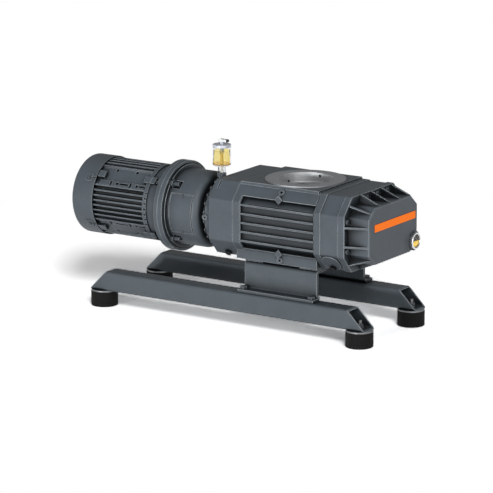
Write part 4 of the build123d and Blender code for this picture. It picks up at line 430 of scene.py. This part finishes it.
FINISH = {
    "pump_paint": cast_enamel,
    "stand_paint": rail_enamel,
    "motor_paint": motor_enamel,
    "painted_steel": screw_enamel,
    "foot_rubber": foot_rubber,
    "zinc": zinc,
    "black_screws": black_oxide,
    "rotor_iron": rotor_iron,
    "ground_steel": ground_steel,
    "orange_film": orange_film,
    "bezel": turned_aluminium,
    "pane": pane_glass,
    "seal_rubber": seal_rubber,
    "spider_rubber": spider_rubber,
    "hub_iron": rotor_iron,
    "winding": lacquered_copper,
    "core_steel": lamination,
    "fan_plastic": fan_plastic,
    "gland_plastic": fan_plastic,
    "oiler_glass": cup_glass,
    "oiler_metal": turned_aluminium,
    "oiler_lever_metal": lever_steel,
}
for part in frame["record"]["subparts"]:
    mesh = nodes[part["node"]].data
    mesh.materials.clear()
    mesh.materials.append(FINISH[part["material_slot"]])
nodes["rotor_housing"].data.materials[0] = housing_enamel
nodes["oiler_stem"].data.materials[0] = oiler_stem_finish
nodes["oiler_lid"].data.materials[0] = lid_nickel


# ---------------------------------------------------------------- small pieces
def mesh_piece(name, points, faces, finish, body="pump"):
    """Piece from points in millimetres and faces, with its finish and body."""
    mesh = bpy.data.meshes.new(name)
    mesh.from_pydata((np.asarray(points) * MM).tolist(), [], faces)
    mesh.materials.append(finish)
    piece = bpy.data.objects.new(name, mesh)
    bpy.context.scene.collection.objects.link(piece)
    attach(piece, body)
    return piece


def band_faces(rows, sides):
    """Faces between neighbouring rows of points, each row a closed round of sides points."""
    k, a = np.meshgrid(np.arange(rows - 1), np.arange(sides), indexing="ij")
    after = (a + 1) % sides
    bands = [k * sides + a, k * sides + after, (k + 1) * sides + after, (k + 1) * sides + a]
    return np.stack(bands, axis=-1).reshape(-1, 4).tolist()


def turned_ring(name, profile, centre, finish, sides=64):
    """Ring turned about an upright axis: the closed profile of (radius, height) pairs is carried
    round the centre, point = centre + (radius cos a, radius sin a, height)."""
    radius, height = np.array(profile, dtype=float).T
    angle = np.arange(sides) * 2 * np.pi / sides
    x = centre[0] + radius[None, :] * np.cos(angle)[:, None]
    y = centre[1] + radius[None, :] * np.sin(angle)[:, None]
    z = centre[2] + np.repeat(height[None, :], sides, axis=0)
    points = np.stack([x, y, z], axis=-1).reshape(-1, 3)
    count = len(radius)
    a, k = np.meshgrid(np.arange(sides), np.arange(count), indexing="ij")
    here = a * count + k
    above = a * count + (k + 1) % count
    next_here = (a + 1) % sides * count + k
    next_above = (a + 1) % sides * count + (k + 1) % count
    faces = np.stack([here, next_here, next_above, above], axis=-1).reshape(-1, 4).tolist()
    piece = mesh_piece(name, points, faces, finish)
    for face in piece.data.polygons:
        face.use_smooth = True
    return piece


# Oil in the cup, with a meniscus that climbs the glass and the tube
turned_ring(
    "oil_fill",
    [
        (OIL_TUBE_RADIUS + RUNNING_GAP, CUP_FLOOR + RUNNING_GAP),
        (CUP_INNER_RADIUS - RUNNING_GAP, CUP_FLOOR + RUNNING_GAP),
        (CUP_INNER_RADIUS - RUNNING_GAP, OIL_LEVEL + 1.6),
        (CUP_INNER_RADIUS - 1.2, OIL_LEVEL + 0.4),
        (CUP_INNER_RADIUS - 3.0, OIL_LEVEL),
        (OIL_TUBE_RADIUS + 2.0, OIL_LEVEL),
        (OIL_TUBE_RADIUS + RUNNING_GAP, OIL_LEVEL + 1.2),
    ],
    (OILER_X, OILER_Y, 0.0),
    amber_oil,
)
# Needle guide that hangs from the lid round the tube
turned_ring(
    "needle_guide",
    [
        (OIL_TUBE_RADIUS + RUNNING_GAP, CUP_TOP - 16.0),
        (OIL_TUBE_RADIUS + 1.2, CUP_TOP - 17.0),
        (OIL_TUBE_RADIUS + 2.4, CUP_TOP - 15.5),
        (OIL_TUBE_RADIUS + 2.4, CUP_TOP - 4.0),
        (OIL_TUBE_RADIUS + 4.0, CUP_TOP - 2.5),
        (OIL_TUBE_RADIUS + 4.0, CUP_TOP),
        (OIL_TUBE_RADIUS + RUNNING_GAP, CUP_TOP),
    ],
    (OILER_X, OILER_Y, 0.0),
    pale_nylon,
)


def glass_disc(name, low, high, back_x, edge_x, crown, finish, slot, radius, sides=72, rings=6):
    """Round sight glass piece about the X axis, kept between two heights. Its outline is
    y = r cos a and z = r sin a held to low..high, drawn in ring by ring to its middle. The back is
    flat at back_x, and the front rises from edge_x by crown times (1 - (distance / radius) squared)."""
    angle = np.arange(sides) * 2 * np.pi / sides
    middle = (max(low, -radius) + min(high, radius)) / 2
    drawn = np.append(1 - np.arange(rings) / rings, 0.0)[:, None]
    y = drawn * radius * np.cos(angle)
    z = middle + drawn * (np.clip(radius * np.sin(angle), low, high) - middle)
    front = edge_x + crown * (1 - (y**2 + z**2) / radius**2)
    grid = np.stack([front, SIGHT_Y + y, SIGHT_Z + z], axis=-1)
    back = grid[0].copy()
    back[:, 0] = back_x
    points = np.concatenate([grid[:-1].reshape(-1, 3), grid[-1, :1], back])
    faces = band_faces(rings, sides)
    ring = np.arange(sides)
    ahead = (ring + 1) % sides
    last = (rings - 1) * sides
    faces += np.stack([last + ring, last + ahead, np.full(sides, rings * sides)], axis=-1).tolist()
    first_back = rings * sides + 1
    faces += np.stack([ring, first_back + ring, first_back + ahead, ahead], axis=-1).tolist()
    faces.append((first_back + ring)[::-1].tolist())
    return mesh_piece(name, points, faces, finish)


# Sight glass: a crowned lens in front, oil up to just below the middle behind it, and a disc of painted
# shade for the dark well
pane_radius = SIGHT_RADIUS - RUNNING_GAP
well_x = SIGHT_PANE_X + 0.1
whole = (-SIGHT_RADIUS, SIGHT_RADIUS)
rim_x = SIGHT_PANE_X + 2.6
lens = glass_disc("sight_lens", *whole, well_x + 1.6, rim_x, 0.9, pane_glass, "pane", pane_radius)
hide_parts("sight_pane")
# The dark disc at the back of the well is painted shade.
glass_disc("sight_reflector", *whole, well_x, well_x + 0.4, 0.2, well_shade, "pump_paint", pane_radius)
oil_heights = (-SIGHT_RADIUS, -1.0)
oil_x = well_x + 0.7
glass_disc("sight_oil", *oil_heights, oil_x, well_x + 1.0, 0.3, oil_window, "pane", pane_radius - 1.5)

# Set screw's profile: radius, and how far it stands proud of the wall
SET_SCREW_PROFILE = [(3.6, -0.4), (3.6, 0.5), (3.2, 0.8), (2.4, 0.8), (2.2, 0.2)]


def set_screw(name, turn_degrees, height, sides=24):
    """Socket set screw in the wall of the inlet bore. Its profile of (radius, proud) pairs is turned
    about the line that points from the wall to the bore's axis, and each end is closed flat."""
    turn = math.radians(turn_degrees)
    inward = -np.array([math.cos(turn), math.sin(turn), 0.0])
    upward = np.array([0.0, 0.0, 1.0])
    seat = np.array([PORT_X, 0.0, height]) - inward * BORE_RADIUS
    radius, proud = np.array(SET_SCREW_PROFILE).T
    angle = np.arange(sides) * 2 * np.pi / sides
    side = np.cos(angle)[:, None] * np.cross(upward, inward) + np.sin(angle)[:, None] * upward
    points = seat + radius[:, None, None] * side + proud[:, None, None] * inward
    faces = band_faces(len(radius), sides)
    ring = np.arange(sides)
    faces += [ring[::-1].tolist(), (ring + (len(radius) - 1) * sides).tolist()]
    return mesh_piece(name, points.reshape(-1, 3), faces, black_oxide)


# Two set screws in the wall of the inlet bore
set_screw("bore_screw_back", turn_degrees=91.5, height=392.5)
set_screw("bore_screw_left", turn_degrees=159.0, height=379.5)


def hexagon_heads(name, across_flats, height, back_x, pitch_radius, count, first_degrees):
    """Ring of hexagon bolt heads on a face that looks along -X. Each head is a hexagon whose corners
    lie at across_flats / sqrt 3 from its middle, drawn in at the top by the chamfer, and the heads
    stand evenly on a circle round the drive shaft."""
    turn = np.radians(first_degrees) + np.arange(count) * 2 * np.pi / count
    corners, layers = 6, 3
    corner = np.arange(corners) * np.pi / 3
    top_share, chamfer = 0.86, 0.7
    reach = across_flats / math.sqrt(3) * np.array([1.0, 1.0, top_share])
    layer_x = back_x - np.array([0.0, height - chamfer, height])
    spot_y = SHAFT_Y + pitch_radius * np.cos(turn)
    spot_z = SHAFT_Z + pitch_radius * np.sin(turn)
    y = spot_y[:, None, None] + reach[None, :, None] * np.cos(corner)[None, None, :]
    z = spot_z[:, None, None] + reach[None, :, None] * np.sin(corner)[None, None, :]
    x = np.broadcast_to(layer_x[None, :, None], y.shape)
    points = np.stack([x, y, z], axis=-1).reshape(-1, 3)
    bolt, layer, a = np.meshgrid(
        np.arange(count), np.arange(layers - 1), np.arange(corners), indexing="ij"
    )
    start = (bolt * layers + layer) * corners
    after = (a + 1) % corners
    sides = [start + a, start + corners + a, start + corners + after, start + after]
    faces = np.stack(sides, axis=-1).reshape(-1, 4).tolist()
    bases = np.arange(count)[:, None] * layers * corners
    tops = bases + (layers - 1) * corners
    faces += (bases + np.arange(corners)).tolist() + (tops + np.arange(corners)[::-1]).tolist()
    return mesh_piece(name, points, faces, screw_enamel)


# Low bolt heads round the seal flange, between bell housing and pump
hexagon_heads(
    "seal_flange_bolts",
    across_flats=8.0,
    height=3.4,
    back_x=-73.0,
    pitch_radius=93.5,
    count=24,
    first_degrees=7.5,
)


# ---------------------------------------------------------------- floor, light and camera
# The floor gives back this many times the light of plain paper, so that it is white outside the shadow
FLOOR_RESPONSE = 4.2
# Distances from the middle, in metres, between which the floor goes over to plain white
FLOOR_BRIGHT_REACH = 1.05
FLOOR_WHITE_REACH = 1.6
# Room's level as a light that fills, and its share of plain white in mirrored rays
WORLD_LEVEL = 0.07
ROOM_MIRRORED = 0.28


def seen_directly(tree, mirrored):
    """1 for rays from the camera or through glass, mirrored for reflected rays, 0 for the rest."""
    path = add(tree, "ShaderNodeLightPath").outputs
    straight = combine(tree, "MAXIMUM", path["Is Camera Ray"], path["Is Transmission Ray"])
    return combine(tree, "MAXIMUM", straight, combine(tree, "MULTIPLY", path["Is Glossy Ray"], mirrored))


def floor_paper():
    """White paper that keeps the shadow near the object and is plain white further off. To the
    object it is a dull grey, so that it throws little light up."""
    material, tree, output = new_material("studio_floor_paper")
    place = object_place(tree)
    away = add(tree, "ShaderNodeVectorMath", None, {0: place}, operation="LENGTH").outputs["Value"]
    tone = spread(tree, noise(tree, place, 40), 0.925, 0.935)
    lit = combine(tree, "MULTIPLY", tone, FLOOR_RESPONSE)
    paper = add(tree, "ShaderNodeBsdfDiffuse", None, {"Color": lit}).outputs[0]
    white = add(tree, "ShaderNodeEmission", {"Color": (1, 1, 1, 1), "Strength": 1.0}).outputs[0]
    far = spread(tree, away, 0.0, 1.0, start=FLOOR_BRIGHT_REACH, end=FLOOR_WHITE_REACH)
    shown = add(tree, "ShaderNodeMixShader", None, {0: far, 1: paper, 2: white}).outputs[0]
    dull = add(tree, "ShaderNodeBsdfDiffuse", {"Color": linear("#5A5A5A")}).outputs[0]
    chosen = add(tree, "ShaderNodeMixShader", None, {0: seen_directly(tree, 1.0), 1: dull, 2: shown})
    tree.links.new(chosen.outputs[0], output.inputs["Surface"])
    return material


def floor_sheet(name, half):
    """Square sheet on the floor, its corners half from the middle along both ways."""
    corners = np.array([[-1, -1, 0], [1, -1, 0], [1, 1, 0], [-1, 1, 0]]) * half
    mesh = bpy.data.meshes.new(name)
    mesh.from_pydata(corners.tolist(), [], [(0, 1, 2, 3)])
    mesh.materials.append(floor_paper())
    sheet = bpy.data.objects.new(name, mesh)
    bpy.context.scene.collection.objects.link(sheet)
    return sheet


floor_sheet("studio_floor", 30.0)

world = bpy.data.worlds.new("studio_world")
world.use_nodes = True
bpy.context.scene.world = world
world.node_tree.nodes.clear()
shown_level = seen_directly(world.node_tree, ROOM_MIRRORED)
level = spread(world.node_tree, shown_level, WORLD_LEVEL, 1.0, start=0.0, end=1.0)
sky = add(world.node_tree, "ShaderNodeBackground", {"Color": (1, 1, 1, 1)}, {"Strength": level})
add(world.node_tree, "ShaderNodeOutputWorld", None, {"Surface": sky.outputs[0]})


def studio_light(name, direction, level, spread_degrees, glints=True):
    """Large even light from one direction. At level 1 a facing surface shows its own colour. A
    light without glints only fills, and shows in no glossy surface."""
    lamp = bpy.data.lights.new(name, "SUN")
    lamp.energy = level * math.pi
    lamp.angle = math.radians(spread_degrees)
    holder = bpy.data.objects.new(name, lamp)
    holder.visible_glossy = glints
    holder.rotation_euler = (-Vector(direction)).to_track_quat("-Z", "Y").to_euler()
    bpy.context.scene.collection.objects.link(holder)


# Directions point from the object to the light. The first three shade it and show in its glossy
# surfaces, and the last two only fill the back and the left.
studio_light("key_light", (0.52, -0.61, 0.59), 0.28, 17)
studio_light("front_light", (-0.05, -1.0, 0.02), 0.80, 8)
studio_light("right_light", (0.84, -0.53, 0.10), 0.26, 20)
studio_light("back_light", (0.25, 1.0, 0.01), 0.75, 6, glints=False)
studio_light("left_light", (-1.0, 0.1, 0.01), 0.45, 6, glints=False)

CAMERA_AZIMUTH = math.radians(32.96)
CAMERA_ELEVATION = math.radians(13.36)
CAMERA_DISTANCE = 9.206
CAMERA_TARGET = np.array([0.0, 0.0, 0.2])
CAMERA_LENS = 246.3
CAMERA_SENSOR = 36.0
CAMERA_SHIFT = (-0.0193, -0.0064)
CAMERA_REACH = 100.0
camera_data = bpy.data.cameras.new("camera")
camera_data.lens = CAMERA_LENS
camera_data.sensor_width = CAMERA_SENSOR
camera_data.shift_x, camera_data.shift_y = CAMERA_SHIFT
camera_data.clip_end = CAMERA_REACH
camera = bpy.data.objects.new("camera", camera_data)
towards = np.array(
    [
        math.sin(CAMERA_AZIMUTH) * math.cos(CAMERA_ELEVATION),
        -math.cos(CAMERA_AZIMUTH) * math.cos(CAMERA_ELEVATION),
        math.sin(CAMERA_ELEVATION),
    ]
)
camera.location = CAMERA_TARGET + towards * CAMERA_DISTANCE
camera.rotation_euler = (math.pi / 2 - CAMERA_ELEVATION, 0.0, CAMERA_AZIMUTH)
bpy.context.scene.collection.objects.link(camera)
bpy.context.scene.camera = camera
bpy.context.scene.view_settings.view_transform = "Standard"
